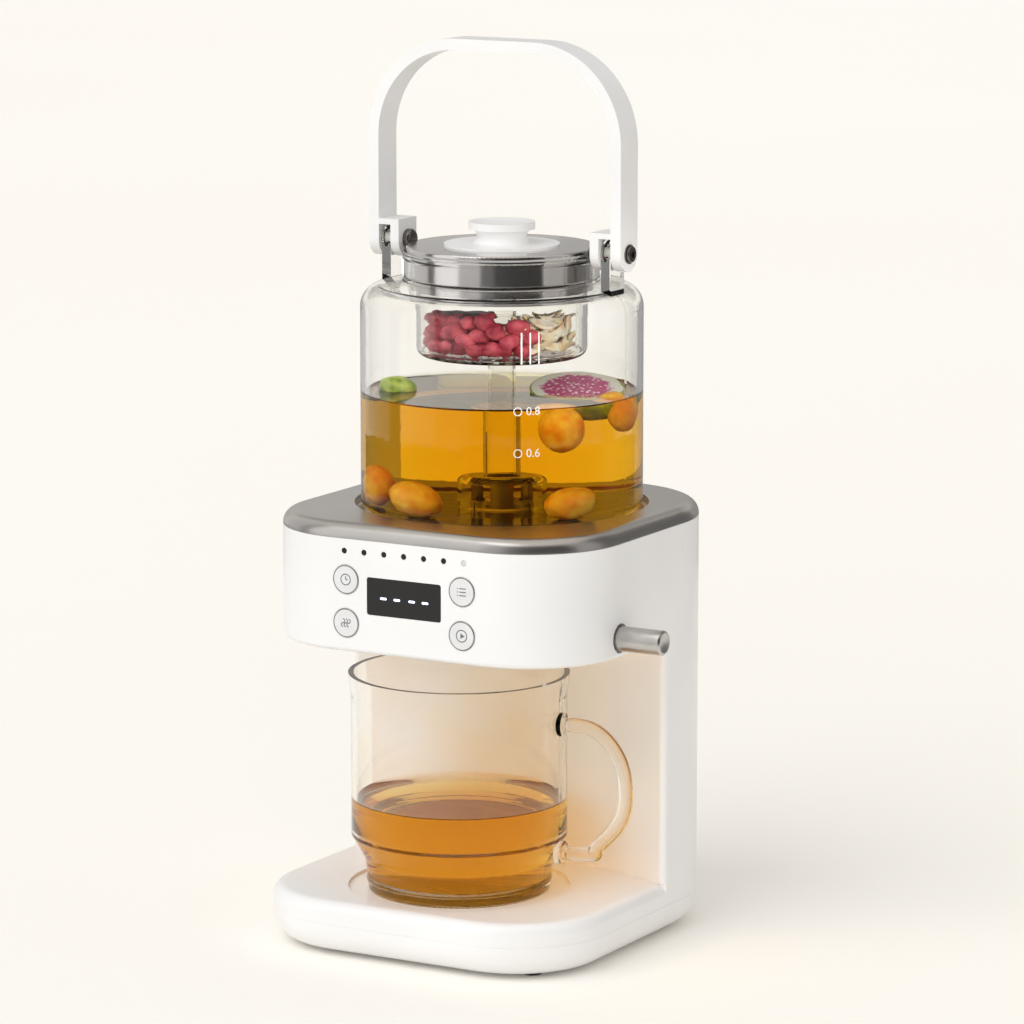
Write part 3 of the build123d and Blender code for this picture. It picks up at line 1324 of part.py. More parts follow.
with BuildPart() as infuser_cup:
    with BuildSketch(Plane.XY.offset(cup_z0)):
        Circle(cup_r)
    extrude(amount=cup_rim_z - cup_z0)
    fillet(infuser_cup.faces().sort_by(Axis.Z)[0].edges(), cup_edge_r)
    with BuildSketch(Plane.XY.offset(band_z0 + lip_t)):
        Circle(cup_bead_r)
    extrude(amount=cup_rim_z - band_z0 - lip_t)
    fillet(infuser_cup.faces().sort_by(Axis.Z)[-1].edges(), 0.8)
    with BuildSketch(Plane.XY.offset(cup_z0 + cup_floor)):
        Circle(cup_r - cup_wall)
        Circle(sleeve_out_r, mode=Mode.SUBTRACT)
    extrude(amount=cup_rim_z - cup_z0 - cup_floor, mode=Mode.SUBTRACT)
    with BuildSketch(Plane.XY.offset(sleeve_z)):
        Circle(sleeve_out_r + 1)
    extrude(amount=cup_rim_z - sleeve_z, mode=Mode.SUBTRACT)
    with BuildSketch(Plane.XY.offset(cup_z0)):
        Circle(sleeve_in_r)
        for ring_r, holes in zip(strainer_ring_r, strainer_counts):
            with PolarLocations(ring_r, holes):
                Circle(strainer_r)
    extrude(amount=sleeve_z - cup_z0, mode=Mode.SUBTRACT)
write(infuser_cup.part, "infuser_cup")

# ================================================================ lid
lid_in = 1.1                  # lid's edge inside the collar's flange
lid_r = flange_out_r - lid_in
lid_t = 1.7
skirt_gap = 0.6               # between skirt and collar
skirt_r, skirt_t, skirt_z = band_r - band_t - skirt_gap, 0.8, 313.0
seal_t = 0.8
seal_in = 0.5                 # seal's edge inside the lid's
seal_slack = 0.4              # around the skirt
seal_r0, seal_r1 = skirt_r + seal_slack, lid_r - seal_in
seal_z = rim_z + band_t
lid_z = seal_z + seal_t
knob_disc_r, knob_disc_t = 27.0, 1.0
knob_neck_r = 11.6
knob_flange_r = 15.5
knob_z0 = lid_z + lid_t
knob_flange_z = 330.5
knob_top_z = 334.3
knob_waist_r = 2.2             # the neck's hollow curve
knob_rim = 1.6                 # the dish inside the flange starts here and is as deep
knob_screw_h = 7.0
lid_screw_r = 2.0
lid_screw_head_r, lid_screw_head_h = 4.2, 2.0

with BuildPart() as lid_seal:
    with BuildSketch(Plane.XY.offset(seal_z)):
        Circle(seal_r1)
        Circle(seal_r0, mode=Mode.SUBTRACT)
    extrude(amount=seal_t)
write(lid_seal.part, "lid_seal")

with BuildPart() as lid_plate:
    with BuildSketch(Plane.XY.offset(lid_z)):
        Circle(lid_r)
    extrude(amount=lid_t)
    fillet(lid_plate.faces().sort_by(Axis.Z)[-1].edges(), 0.8)
    with BuildSketch(Plane.XY.offset(skirt_z)):
        Circle(skirt_r)
        Circle(skirt_r - skirt_t, mode=Mode.SUBTRACT)
    extrude(amount=lid_z - skirt_z)
    with BuildSketch(Plane.XY.offset(lid_z)):
        Circle(lid_screw_r + 0.2)
    extrude(amount=lid_t, mode=Mode.SUBTRACT)
write(lid_plate.part, "lid_plate")

with BuildPart() as lid_knob:
    with BuildSketch(Plane.XZ) as profile:
        with BuildLine():
            Line((0, knob_z0), (knob_disc_r, knob_z0))
            Line((knob_disc_r, knob_z0), (knob_disc_r, knob_z0 + knob_disc_t))
            Line((knob_disc_r, knob_z0 + knob_disc_t), (knob_neck_r + knob_waist_r, knob_z0 + knob_disc_t))
            ThreePointArc(
                (knob_neck_r + knob_waist_r, knob_z0 + knob_disc_t),
                (knob_neck_r, (knob_z0 + knob_disc_t + knob_flange_z) / 2),
                (knob_neck_r + knob_waist_r, knob_flange_z),
            )
            Line((knob_neck_r + knob_waist_r, knob_flange_z), (knob_flange_r, knob_flange_z + 0.4))
            Line((knob_flange_r, knob_flange_z + 0.4), (knob_flange_r, knob_top_z))
            Line((knob_flange_r, knob_top_z), (knob_flange_r - knob_rim, knob_top_z))
            TangentArc((0, knob_top_z - knob_rim), (knob_flange_r - knob_rim, knob_top_z), tangent=(1, 0))
            Line((0, knob_top_z - knob_rim), (0, knob_z0))
        make_face()
    revolve(axis=Axis.Z)
    with BuildSketch(Plane.XY.offset(knob_z0)):
        Circle(lid_screw_r)
    extrude(amount=knob_screw_h, mode=Mode.SUBTRACT)
write(lid_knob.part, "lid_knob")

lid_screw = screw(0, 0, lid_z, lid_screw_head_r, lid_screw_head_h, lid_screw_r,
                  lid_t + knob_screw_h - 1, (0, 0, -1))
write(lid_screw, "lid_screw")

# ================================================================ mug
foot_edge_r = 1.0
foot_band_r, foot_band_z = 43.4, 31.0
waist_r, waist_z = 42.9, 33.0
slant_r, slant_z = 44.2, 41.0
side_z = 52.0
flare_z = 118.0
handle_r = 3.3
pad_r, pad_t = 5.5, 3.4
mug_floor_edge_r = 4.0
mug_floor_r = mug_foot_r - mug_wall - 1.4              # inside, before rounding
slant_in_r, slant_in_up = slant_r - mug_wall - 0.4, 1.2
handle_path = [(49.0, 107.4), (68.0, 105.5), (80.0, 92.0), (82.7, 78.0), (79.0, 62.0), (68.0, 49.5),
               (49.0, 46.7)]
turn = radians(mug_turn)
mug_plane = Plane(origin=(0, mug_y, 0), x_dir=(cos(turn), sin(turn), 0), z_dir=(sin(turn), -cos(turn), 0))
mug_axis = Axis((0, mug_y, 0), (0, 0, 1))

with BuildPart() as mug_hollow:
    with BuildSketch(mug_plane) as profile:
        with BuildLine():
            Polyline(
                (0, mug_z + mug_floor),
                (mug_floor_r, mug_z + mug_floor),
                (slant_in_r, slant_z + slant_in_up),
                (mug_r - mug_wall, side_z + slant_in_up),
                (mug_r - mug_wall, flare_z),
                (mug_rim_r - mug_wall, mug_rim_z + 1),
                (0, mug_rim_z + 1),
                close=True,
            )
        make_face()
    revolve(axis=mug_axis)
    fillet(mug_hollow.edges().group_by(Axis.Z)[0], mug_floor_edge_r)

with BuildPart() as mug_glass:
    with BuildSketch(mug_plane) as profile:
        with BuildLine():
            Polyline(
                (0, mug_z),
                (mug_foot_r, mug_z),
                (foot_band_r, foot_band_z),
                (waist_r, waist_z),
                (slant_r, slant_z),
                (mug_r, side_z),
                (mug_r, flare_z),
                (mug_rim_r, mug_rim_z),
                (0, mug_rim_z),
                close=True,
            )
        make_face()
    revolve(axis=mug_axis)
    fillet(mug_glass.edges().group_by(Axis.Z)[0], foot_edge_r)
    with BuildLine(mug_plane) as handle_line:
        Spline(*handle_path, tangents=[mug_plane.x_dir, -mug_plane.x_dir])
    with BuildSketch(Plane(origin=handle_line.line @ 0, z_dir=handle_line.line % 0)):
        Circle(handle_r)
    sweep(path=handle_line.line)
    for r, z in (handle_path[0], handle_path[-1]):
        with BuildSketch(Plane(origin=mug_plane.from_local_coords((r, z, 0)), z_dir=mug_plane.x_dir)):
            Circle(pad_r)
        extrude(amount=pad_t)
    add(mug_hollow.part, mode=Mode.SUBTRACT)
write(mug_glass.part, "mug_glass")
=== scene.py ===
import math
import random

import bmesh
import bpy
from mathutils import Matrix, Vector, noise


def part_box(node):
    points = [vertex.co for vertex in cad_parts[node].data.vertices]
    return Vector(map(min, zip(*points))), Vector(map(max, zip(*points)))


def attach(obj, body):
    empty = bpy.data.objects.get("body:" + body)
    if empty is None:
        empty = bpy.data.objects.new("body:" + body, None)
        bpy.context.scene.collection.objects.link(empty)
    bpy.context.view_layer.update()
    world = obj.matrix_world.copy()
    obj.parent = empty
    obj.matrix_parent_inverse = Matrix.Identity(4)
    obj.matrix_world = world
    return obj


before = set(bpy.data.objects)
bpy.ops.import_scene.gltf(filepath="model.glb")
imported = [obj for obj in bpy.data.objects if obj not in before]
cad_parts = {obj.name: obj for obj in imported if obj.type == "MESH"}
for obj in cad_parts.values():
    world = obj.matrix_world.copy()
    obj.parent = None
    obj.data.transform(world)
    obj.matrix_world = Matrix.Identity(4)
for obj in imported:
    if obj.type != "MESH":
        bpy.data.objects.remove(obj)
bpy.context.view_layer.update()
mm = 0.001

# Housing: the shell with its head, column and base, the pan that closes it below and the rear cover.
# All three are injection-moulded ABS, white with a satin gloss, and screw together from below and behind.


def colour(code):
    """An sRGB hex colour as linear red, green, blue and alpha."""
    parts = [int(code[i : i + 2], 16) / 255 for i in (1, 3, 5)]
    return [c / 12.92 if c <= 0.04045 else ((c + 0.055) / 1.055) ** 2.4 for c in parts] + [1.0]


def add_node(material, kind, settings=None):
    """A new node of that kind. Each setting is a property, an input's value or a socket to link from."""
    made = material.node_tree.nodes.new(kind)
    for name, value in (settings or {}).items():
        if isinstance(name, str) and hasattr(made, name):
            setattr(made, name, value)
        elif isinstance(value, bpy.types.NodeSocket):
            material.node_tree.links.new(value, made.inputs[name])
        else:
            made.inputs[name].default_value = value
    return made


def new_material(name):
    """An empty node material, its Object coordinates and its output node."""
    made = bpy.data.materials.new(name)
    made.use_nodes = True
    made.node_tree.nodes.clear()
    where = add_node(made, "ShaderNodeTexCoord").outputs["Object"]
    return made, where, add_node(made, "ShaderNodeOutputMaterial")


def wire(material, start, end):
    """Links one socket to another."""
    material.node_tree.links.new(start, end)


def mottled(material, where, grain, low, high):
    """A colour that drifts between two close shades over patches of that size in metres."""
    cloud = add_node(material, "ShaderNodeTexNoise", {"Vector": where, "Scale": 1 / grain, "Detail": 2.0})
    ramp = add_node(material, "ShaderNodeValToRGB", {"Fac": cloud.outputs["Fac"]})
    ramp.color_ramp.elements[0].position = 0.35
    ramp.color_ramp.elements[1].position = 0.65
    ramp.color_ramp.elements[0].color = colour(low)
    ramp.color_ramp.elements[1].color = colour(high)
    return ramp.outputs["Color"]


def fine_grain(material, where, pitch, height, strength):
    """A bump of moulding texture or blasting, with that pitch and height in metres."""
    grit = add_node(material, "ShaderNodeTexNoise", {"Vector": where, "Scale": 1 / pitch, "Detail": 3.0})
    settings = {"Height": grit.outputs["Fac"], "Distance": height, "Strength": strength}
    return add_node(material, "ShaderNodeBump", settings).outputs["Normal"]


def uneven_gloss(material, where, patch, low, high):
    """A roughness that wanders between two values over patches of that size in metres."""
    cloud = add_node(material, "ShaderNodeTexNoise", {"Vector": where, "Scale": 1 / patch, "Detail": 2.0})
    settings = {"Value": cloud.outputs["Fac"], "To Min": low, "To Max": high}
    return add_node(material, "ShaderNodeMapRange", settings).outputs["Result"]


def dress(material, *names):
    """Gives CAD nodes their finished material."""
    for name in names:
        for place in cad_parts[name].material_slots:
            place.material = material


# ABS from a finely eroded mould: bright white with a soft sheen and no visible texture from arm's length.
white_abs, where, out = new_material("white_satin_abs")
settings = {
    "Base Color": mottled(white_abs, where, 60 * mm, "#F1F0EF", "#F5F4F3"),
    "Roughness": uneven_gloss(white_abs, where, 25 * mm, 0.26, 0.32),
    "IOR": 1.53,
    "Normal": fine_grain(white_abs, where, 0.35 * mm, 0.004 * mm, 0.4),
}
shader = add_node(white_abs, "ShaderNodeBsdfPrincipled", settings)
wire(white_abs, shader.outputs["BSDF"], out.inputs["Surface"])
dress(white_abs, "housing_shell", "base_pan", "rear_cover", "bail_handle", "lid_knob")

# Feet: four pads of black rubber, moulded and pressed into the pan from below.
# Rubber is dull, with a slightly open skin, and its black is a very dark grey.
rubber, where, out = new_material("black_moulded_rubber")
settings = {
    "Base Color": mottled(rubber, where, 4 * mm, "#1B1B1B", "#262524"),
    "Roughness": uneven_gloss(rubber, where, 3 * mm, 0.6, 0.75),
    "IOR": 1.52,
    "Normal": fine_grain(rubber, where, 0.3 * mm, 0.02 * mm, 0.5),
}
shader = add_node(rubber, "ShaderNodeBsdfPrincipled", settings)
wire(rubber, shader.outputs["BSDF"], out.inputs["Surface"])
dress(rubber, "rubber_feet")

# Screws: self-tapping screws of zinc-plated steel, driven into moulded posts.
# Bright plating turns a little blue and blotchy.
zinc, where, out = new_material("zinc_plated_steel")
settings = {
    "Base Color": mottled(zinc, where, 1.5 * mm, "#A9AEB2", "#BDBDB9"),
    "Metallic": 1.0,
    "Roughness": uneven_gloss(zinc, where, 1 * mm, 0.25, 0.4),
    "Normal": fine_grain(zinc, where, 0.2 * mm, 0.01 * mm, 0.3),
}
shader = add_node(zinc, "ShaderNodeBsdfPrincipled", settings)
wire(zinc, shader.outputs["BSDF"], out.inputs["Surface"])
dress(
    zinc, "base_screws", "rear_screws", "power_screws", "tray_screws", "plate_screws", "guide_screws",
    "board_screws", "lid_screw",
)

# Power side: a black nylon appliance inlet with brass pins, and the supply board behind the rear cover.
# The nylon is matt with a spark-eroded skin; the boards are green solder mask over glass fibre.
black_nylon, where, out = new_material("black_eroded_nylon")
settings = {
    "Base Color": mottled(black_nylon, where, 3 * mm, "#151515", "#1F1F20"),
    "Roughness": uneven_gloss(black_nylon, where, 2 * mm, 0.45, 0.6),
    "IOR": 1.53,
    "Normal": fine_grain(black_nylon, where, 0.25 * mm, 0.02 * mm, 0.5),
}
shader = add_node(black_nylon, "ShaderNodeBsdfPrincipled", settings)
wire(black_nylon, shader.outputs["BSDF"], out.inputs["Surface"])
dress(black_nylon, "power_inlet", "power_parts", "tact_switches", "display_module")

# Pins: drawn brass, smooth and warm, with a light tarnish in patches.
brass, where, out = new_material("drawn_brass")
settings = {
    "Base Color": mottled(brass, where, 2 * mm, "#C9A455", "#D6B36A"),
    "Metallic": 1.0,
    "Roughness": uneven_gloss(brass, where, 1 * mm, 0.2, 0.3),
}
shader = add_node(brass, "ShaderNodeBsdfPrincipled", settings)
wire(brass, shader.outputs["BSDF"], out.inputs["Surface"])
dress(brass, "inlet_pins")

# Boards: glossy green lacquer, through which copper tracks show as paler lines a few millimetres apart.
solder_mask, where, out = new_material("green_solder_mask")
tracks = add_node(
    solder_mask, "ShaderNodeTexBrick", {"Vector": where, "Scale": 1 / (9 * mm), "Mortar Size": 0.03}
)
tracks.inputs["Color1"].default_value = colour("#14502F")
tracks.inputs["Color2"].default_value = colour("#185A36")
tracks.inputs["Mortar"].default_value = colour("#2E7A4C")
settings = {"Base Color": tracks.outputs["Color"], "Roughness": 0.3, "IOR": 1.5, "Coat Weight": 0.3}
shader = add_node(solder_mask, "ShaderNodeBsdfPrincipled", settings)
wire(solder_mask, shader.outputs["BSDF"], out.inputs["Surface"])
dress(solder_mask, "power_board", "control_board")

# Deck: a cap drawn from stainless sheet and bead-blasted to a soft satin, dropped over the head's top.
# The blasting leaves a grit of about 0.2 mm; it is drawn at 0.5 mm, so that it still shows as a soft haze.
satin_steel, where, out = new_material("bead_blasted_stainless")
settings = {
    "Base Color": mottled(satin_steel, where, 50 * mm, "#B4B1AE", "#BCB9B7"),
    "Metallic": 1.0,
    "Roughness": uneven_gloss(satin_steel, where, 15 * mm, 0.27, 0.33),
    "Normal": fine_grain(satin_steel, where, 0.5 * mm, 0.006 * mm, 0.35),
}
shader = add_node(satin_steel, "ShaderNodeBsdfPrincipled", settings)
wire(satin_steel, shader.outputs["BSDF"], out.inputs["Surface"])
dress(satin_steel, "steel_deck", "valve_body", "valve_nut", "valve_cage", "temp_sensor")

# Heater: a cast aluminium plate with a steel-sheathed element, in a tray of heat-proof grey nylon.
# The plate's face is turned, which leaves rings round the kettle's axis. Real ones lie about 0.4 mm apart;
# they are drawn 2.5 mm apart, so that they show.
kettle_x, kettle_y = -11.35 * mm, 10.5 * mm
wave_rate = 20                 # radians that a Wave texture at scale 1 runs through in a metre
ring_rate = 1 / (0.4 * mm)     # radians a metre, so the rings lie tau times 0.4 mm apart
turned_plate, where, out = new_material("turned_cast_aluminium")
centred = add_node(
    turned_plate, "ShaderNodeMapping", {"Vector": where, "Location": (-kettle_x, -kettle_y, 0)}
)
settings = {
    "wave_type": "RINGS",
    "rings_direction": "Z",
    "Vector": centred.outputs["Vector"],
    "Scale": ring_rate / wave_rate,
    "Distortion": 0.5,
}
rings = add_node(turned_plate, "ShaderNodeTexWave", settings)
settings = {"Height": rings.outputs["Fac"], "Distance": 0.01 * mm, "Strength": 0.4}
ridges = add_node(turned_plate, "ShaderNodeBump", settings)
settings = {
    "Base Color": mottled(turned_plate, where, 8 * mm, "#8E8D8A", "#A3A19D"),
    "Metallic": 1.0,
    "Roughness": uneven_gloss(turned_plate, where, 5 * mm, 0.35, 0.45),
    "Normal": ridges.outputs["Normal"],
}
shader = add_node(turned_plate, "ShaderNodeBsdfPrincipled", settings)
wire(turned_plate, shader.outputs["BSDF"], out.inputs["Surface"])
dress(turned_plate, "heating_plate")

# Element: a steel sheath that its own heat has browned and left patchy.
scaled_steel, where, out = new_material("heat_darkened_steel")
settings = {
    "Base Color": mottled(scaled_steel, where, 5 * mm, "#55504B", "#6B6661"),
    "Metallic": 1.0,
    "Roughness": uneven_gloss(scaled_steel, where, 2 * mm, 0.3, 0.5),
}
shader = add_node(scaled_steel, "ShaderNodeBsdfPrincipled", settings)
wire(scaled_steel, shader.outputs["BSDF"], out.inputs["Surface"])
dress(scaled_steel, "heating_element")

# Tray and funnel: moulded nylon with glass fibres, which lie in its skin and make it matt.
grey_nylon, where, out = new_material("glass_filled_nylon")
settings = {
    "Base Color": mottled(grey_nylon, where, 6 * mm, "#BDBCB8", "#C9C8C4"),
    "Roughness": uneven_gloss(grey_nylon, where, 3 * mm, 0.5, 0.6),
    "IOR": 1.53,
    "Normal": fine_grain(grey_nylon, where, 0.3 * mm, 0.02 * mm, 0.4),
}
shader = add_node(grey_nylon, "ShaderNodeBsdfPrincipled", settings)
wire(grey_nylon, shader.outputs["BSDF"], out.inputs["Surface"])
dress(grey_nylon, "heater_tray", "outlet_funnel")

# Seals and hose: silicone rubber, milky and a little translucent, pressed or extruded to shape.
silicone, where, out = new_material("milky_silicone")
settings = {
    "Base Color": mottled(silicone, where, 8 * mm, "#D9D7D2", "#E3E1DC"),
    "Roughness": uneven_gloss(silicone, where, 4 * mm, 0.35, 0.5),
    "IOR": 1.41,
    "Subsurface Weight": 0.3,
    "Subsurface Radius": (1.0, 0.9, 0.8),
    "Subsurface Scale": 2 * mm,
}
shader = add_node(silicone, "ShaderNodeBsdfPrincipled", settings)
wire(silicone, shader.outputs["BSDF"], out.inputs["Surface"])
dress(silicone, "plate_seal", "pour_hose", "lug_bushes", "valve_gaskets", "valve_poppet", "lid_seal")

# Pour control: a satin steel rod in an acetal bush pushes a ramp, which lifts a yoke under the valve.
# The rod is centreless ground, so fine lines run round it across its length. They are drawn 1.9 mm apart,
# much coarser than grinding leaves them, so that they show.
line_rate = 1 / (0.3 * mm)     # radians a metre, so the lines lie tau times 0.3 mm apart
ground_steel, where, out = new_material("ground_stainless_rod")
settings = {
    "wave_type": "BANDS",
    "bands_direction": "X",
    "Vector": where,
    "Scale": line_rate / wave_rate,
    "Distortion": 1.0,
    "Detail": 3.0,
}
lines = add_node(ground_steel, "ShaderNodeTexWave", settings)
settings = {"Height": lines.outputs["Fac"], "Distance": 0.004 * mm, "Strength": 0.3}
scratches = add_node(ground_steel, "ShaderNodeBump", settings)
settings = {
    "Base Color": mottled(ground_steel, where, 6 * mm, "#BDBBB8", "#C8C6C3"),
    "Metallic": 1.0,
    "Roughness": uneven_gloss(ground_steel, where, 3 * mm, 0.26, 0.34),
    "Normal": scratches.outputs["Normal"],
}
shader = add_node(ground_steel, "ShaderNodeBsdfPrincipled", settings)
wire(ground_steel, shader.outputs["BSDF"], out.inputs["Surface"])
dress(ground_steel, "pour_rod", "rod_clip", "rod_spring", "valve_spring", "outlet_nozzle")

# Bush, guide, ramp and yoke: moulded acetal without dye, waxy white and smooth.
acetal, where, out = new_material("natural_acetal")
settings = {
    "Base Color": mottled(acetal, where, 6 * mm, "#DEDCD5", "#E6E4DE"),
    "Roughness": uneven_gloss(acetal, where, 4 * mm, 0.3, 0.4),
    "IOR": 1.48,
    "Subsurface Weight": 0.1,
    "Subsurface Radius": (1.0, 0.95, 0.9),
    "Subsurface Scale": 1 * mm,
}
shader = add_node(acetal, "ShaderNodeBsdfPrincipled", settings)
wire(acetal, shader.outputs["BSDF"], out.inputs["Surface"])
dress(acetal, "rod_guide", "rod_bush", "lift_ramp", "lift_yoke")

# Front panel: a window of black acrylic over the display, four grey keys, and seven small indicator lenses.
# The acrylic is cast and polished; the keys are satin plastic with a turned rim and a printed sign.
black_acrylic, where, out = new_material("black_cast_acrylic")
settings = {
    "Base Color": mottled(black_acrylic, where, 12 * mm, "#050506", "#0A0A0C"),
    "Roughness": uneven_gloss(black_acrylic, where, 10 * mm, 0.04, 0.08),
    "IOR": 1.49,
}
shader = add_node(black_acrylic, "ShaderNodeBsdfPrincipled", settings)
wire(black_acrylic, shader.outputs["BSDF"], out.inputs["Surface"])
dress(black_acrylic, "display_window")

# Indicators: clear resin lenses, dark while unlit; the last one at the right is lit and shines through pale.
lens, where, out = new_material("moulded_lens_resin")
across = add_node(lens, "ShaderNodeSeparateXYZ", {"Vector": where}).outputs["X"]
from_end = 5 * mm              # from the row's right end to the gap before its last lens
last_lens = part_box("status_leds")[1].x - from_end
lit = add_node(lens, "ShaderNodeMath", {"operation": "GREATER_THAN", 0: across, 1: last_lens})
shade = add_node(lens, "ShaderNodeMix", {
    "data_type": "RGBA", 0: lit.outputs["Value"], 6: mottled(lens, where, 2 * mm, "#0B0B0D", "#151517"),
    7: colour("#D9D6D2"),
})
settings = {
    "Base Color": shade.outputs[2],
    "Roughness": uneven_gloss(lens, where, 1 * mm, 0.12, 0.2),
    "IOR": 1.5,
}
shader = add_node(lens, "ShaderNodeBsdfPrincipled", settings)
wire(lens, shader.outputs["BSDF"], out.inputs["Surface"])
dress(lens, "status_leds")

# Keys: moulded in a pale cool grey, a little duller than the white around them.
key_plastic, where, out = new_material("pale_grey_satin_plastic")
settings = {
    "Base Color": mottled(key_plastic, where, 10 * mm, "#E0E0E0", "#E6E6E6"),
    "Roughness": uneven_gloss(key_plastic, where, 5 * mm, 0.3, 0.38),
    "IOR": 1.5,
    "Normal": fine_grain(key_plastic, where, 0.3 * mm, 0.006 * mm, 0.4),
}
shader = add_node(key_plastic, "ShaderNodeBsdfPrincipled", settings)
wire(key_plastic, shader.outputs["BSDF"], out.inputs["Surface"])
dress(key_plastic, "button_schedule", "button_warm", "button_mode", "button_start")


def show(shape, name, material, body, smooth=True):
    """Makes a bmesh into a piece that rides on a body, in that material."""
    mesh = bpy.data.meshes.new(name)
    shape.to_mesh(mesh)
    shape.free()
    mesh.materials.append(material)
    for face in mesh.polygons:
        face.use_smooth = smooth
    piece = bpy.data.objects.new(name, mesh)
    bpy.context.scene.collection.objects.link(piece)
    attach(piece, body)
    return piece


def turn_about(shape, corners, centre, axis, angle=math.tau, steps=128):
    """Turns a chain of corners about an axis into a skin, as on a lathe."""
    made = [shape.verts.new(corner) for corner in corners]
    edges = [shape.edges.new(pair) for pair in zip(made, made[1:])]
    bmesh.ops.spin(
        shape, geom=made + edges, cent=centre, axis=axis, angle=angle, steps=steps,
        use_merge=angle >= math.tau,
    )


# Key rims and signs: a thin satin metal ring let into each key's edge, and a grey sign, pad-printed
# on its face. The ink is matt and slightly patchy; each sign stands 0.02 mm proud.
key_rim, where, out = new_material("satin_plated_rim")
settings = {
    "Base Color": mottled(key_rim, where, 3 * mm, "#8C8A88", "#A09E9C"),
    "Metallic": 1.0,
    "Roughness": uneven_gloss(key_rim, where, 2 * mm, 0.25, 0.35),
}
shader = add_node(key_rim, "ShaderNodeBsdfPrincipled", settings)
wire(key_rim, shader.outputs["BSDF"], out.inputs["Surface"])
sign_ink, where, out = new_material("grey_pad_print_ink")
settings = {
    "Base Color": mottled(sign_ink, where, 1 * mm, "#66676A", "#737478"),
    "Roughness": uneven_gloss(sign_ink, where, 1 * mm, 0.5, 0.6),
    "IOR": 1.5,
}
shader = add_node(sign_ink, "ShaderNodeBsdfPrincipled", settings)
wire(sign_ink, shader.outputs["BSDF"], out.inputs["Surface"])

key_radius = 6.8 * mm
key_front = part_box("button_start")[0].y
sign_y = key_front - 0.02 * mm
line_w = 0.5 * mm


def print_bar(shape, x, z, length, width, turn=0.0, y=sign_y):
    """A printed bar about a point on an upright face, turned by that many degrees."""
    place = Matrix.Translation((x, y, z)) @ Matrix.Rotation(math.radians(turn), 4, "Y")
    upright = Matrix.Rotation(math.radians(90), 4, "X")
    size = Matrix.Diagonal((length, width, 1, 1))
    bmesh.ops.create_grid(shape, x_segments=1, y_segments=1, size=0.5, matrix=place @ upright @ size)


def print_arc(shape, x, z, radius, width, start=0.0, sweep=360.0, y=sign_y):
    """A printed ring or arc about a point on an upright face, that many degrees long from its start."""
    a = math.radians(start)
    ends = [
        (x + r * math.cos(a), y, z + r * math.sin(a)) for r in (radius - width / 2, radius + width / 2)
    ]
    steps = max(8, round(abs(sweep) / 6))
    turn_about(shape, ends, (x, 0, z), (0, -1, 0), math.radians(sweep), steps)


for node, body in (
    ("button_schedule", "schedule_button"),
    ("button_warm", "warm_button"),
    ("button_mode", "mode_button"),
    ("button_start", "start_button"),
):
    low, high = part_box(node)
    x, z = (low.x + high.x) / 2, (low.z + high.z) / 2
    rim = bmesh.new()
    section = (
        (key_radius - 0.62 * mm, key_front + 0.02 * mm),
        (key_radius - 0.52 * mm, key_front - 0.09 * mm),
        (key_radius - 0.18 * mm, key_front - 0.09 * mm),
        (key_radius - 0.02 * mm, key_front + 0.12 * mm),
    )
    turn_about(rim, [(x + r, y, z) for r, y in section], (x, 0, z), (0, 1, 0), steps=96)
    bmesh.ops.recalc_face_normals(rim, faces=rim.faces)
    show(rim, node + "_rim", key_rim, body)
    sign = bmesh.new()
    if node == "button_schedule":                     # a clock face
        print_arc(sign, x, z, 2.5 * mm, line_w)
        print_bar(sign, x, z + 0.75 * mm, line_w, 1.5 * mm)
        print_bar(sign, x + 0.55 * mm, z, 1.1 * mm, line_w)
    elif node == "button_warm":                       # three rising waves of warmth
        for step in (-1.5, 0, 1.5):
            print_arc(sign, x + step * mm, z + 0.9 * mm, 0.9 * mm, line_w, -90, 180)
            print_arc(sign, x + step * mm, z - 0.9 * mm, 0.9 * mm, line_w, 90, 180)
    elif node == "button_mode":                       # a list of three lines
        for step in (-1.6, 0, 1.6):
            print_bar(sign, x + 0.6 * mm, z + step * mm, 3.4 * mm, line_w)
            print_bar(sign, x - 2.1 * mm, z + step * mm, line_w, line_w)
    else:                                             # an arrowhead in a ring
        print_arc(sign, x, z, 2.7 * mm, line_w)
        point = Matrix.Translation((x + 0.15 * mm, sign_y, z)) @ Matrix.Rotation(math.radians(90), 4, "X")
        bmesh.ops.create_circle(
            sign, cap_ends=True, segments=3, radius=1.5 * mm,
            matrix=point @ Matrix.Rotation(math.radians(-90), 4, "Z"),
        )
    show(sign, node + "_sign", sign_ink, body, smooth=False)

# Display: the middle bars of four light-emitting digits, shining through the tinted window.
# Each bar is a little light guide of clear resin, cool white when lit, with pointed ends.
lit_bar, where, out = new_material("lit_clear_resin")
glow = add_node(lit_bar, "ShaderNodeTexNoise", {"Vector": where, "Scale": 1 / (1.5 * mm)})
brighter = add_node(
    lit_bar, "ShaderNodeMapRange", {"Value": glow.outputs["Fac"], "To Min": 1.6, "To Max": 2.4}
)
settings = {
    "Base Color": colour("#DCE4FF"),
    "Roughness": 0.3,
    "Emission Color": colour("#D4DEFF"),
    "Emission Strength": brighter.outputs["Result"],
}
shader = add_node(lit_bar, "ShaderNodeBsdfPrincipled", settings)
wire(lit_bar, shader.outputs["BSDF"], out.inputs["Surface"])
window_low, window_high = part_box("display_window")
window_mid = (window_low + window_high) / 2
digits = bmesh.new()
for step in (-10.8, -3.7, 4.2, 11.2):
    at = (window_mid.x + step * mm, window_low.y - 0.01 * mm, window_mid.z - 0.6 * mm)
    size = Matrix.Diagonal((3.4 * mm, 0.04 * mm, 1.05 * mm, 1))
    bmesh.ops.create_cube(digits, size=1.0, matrix=Matrix.Translation(at) @ size)
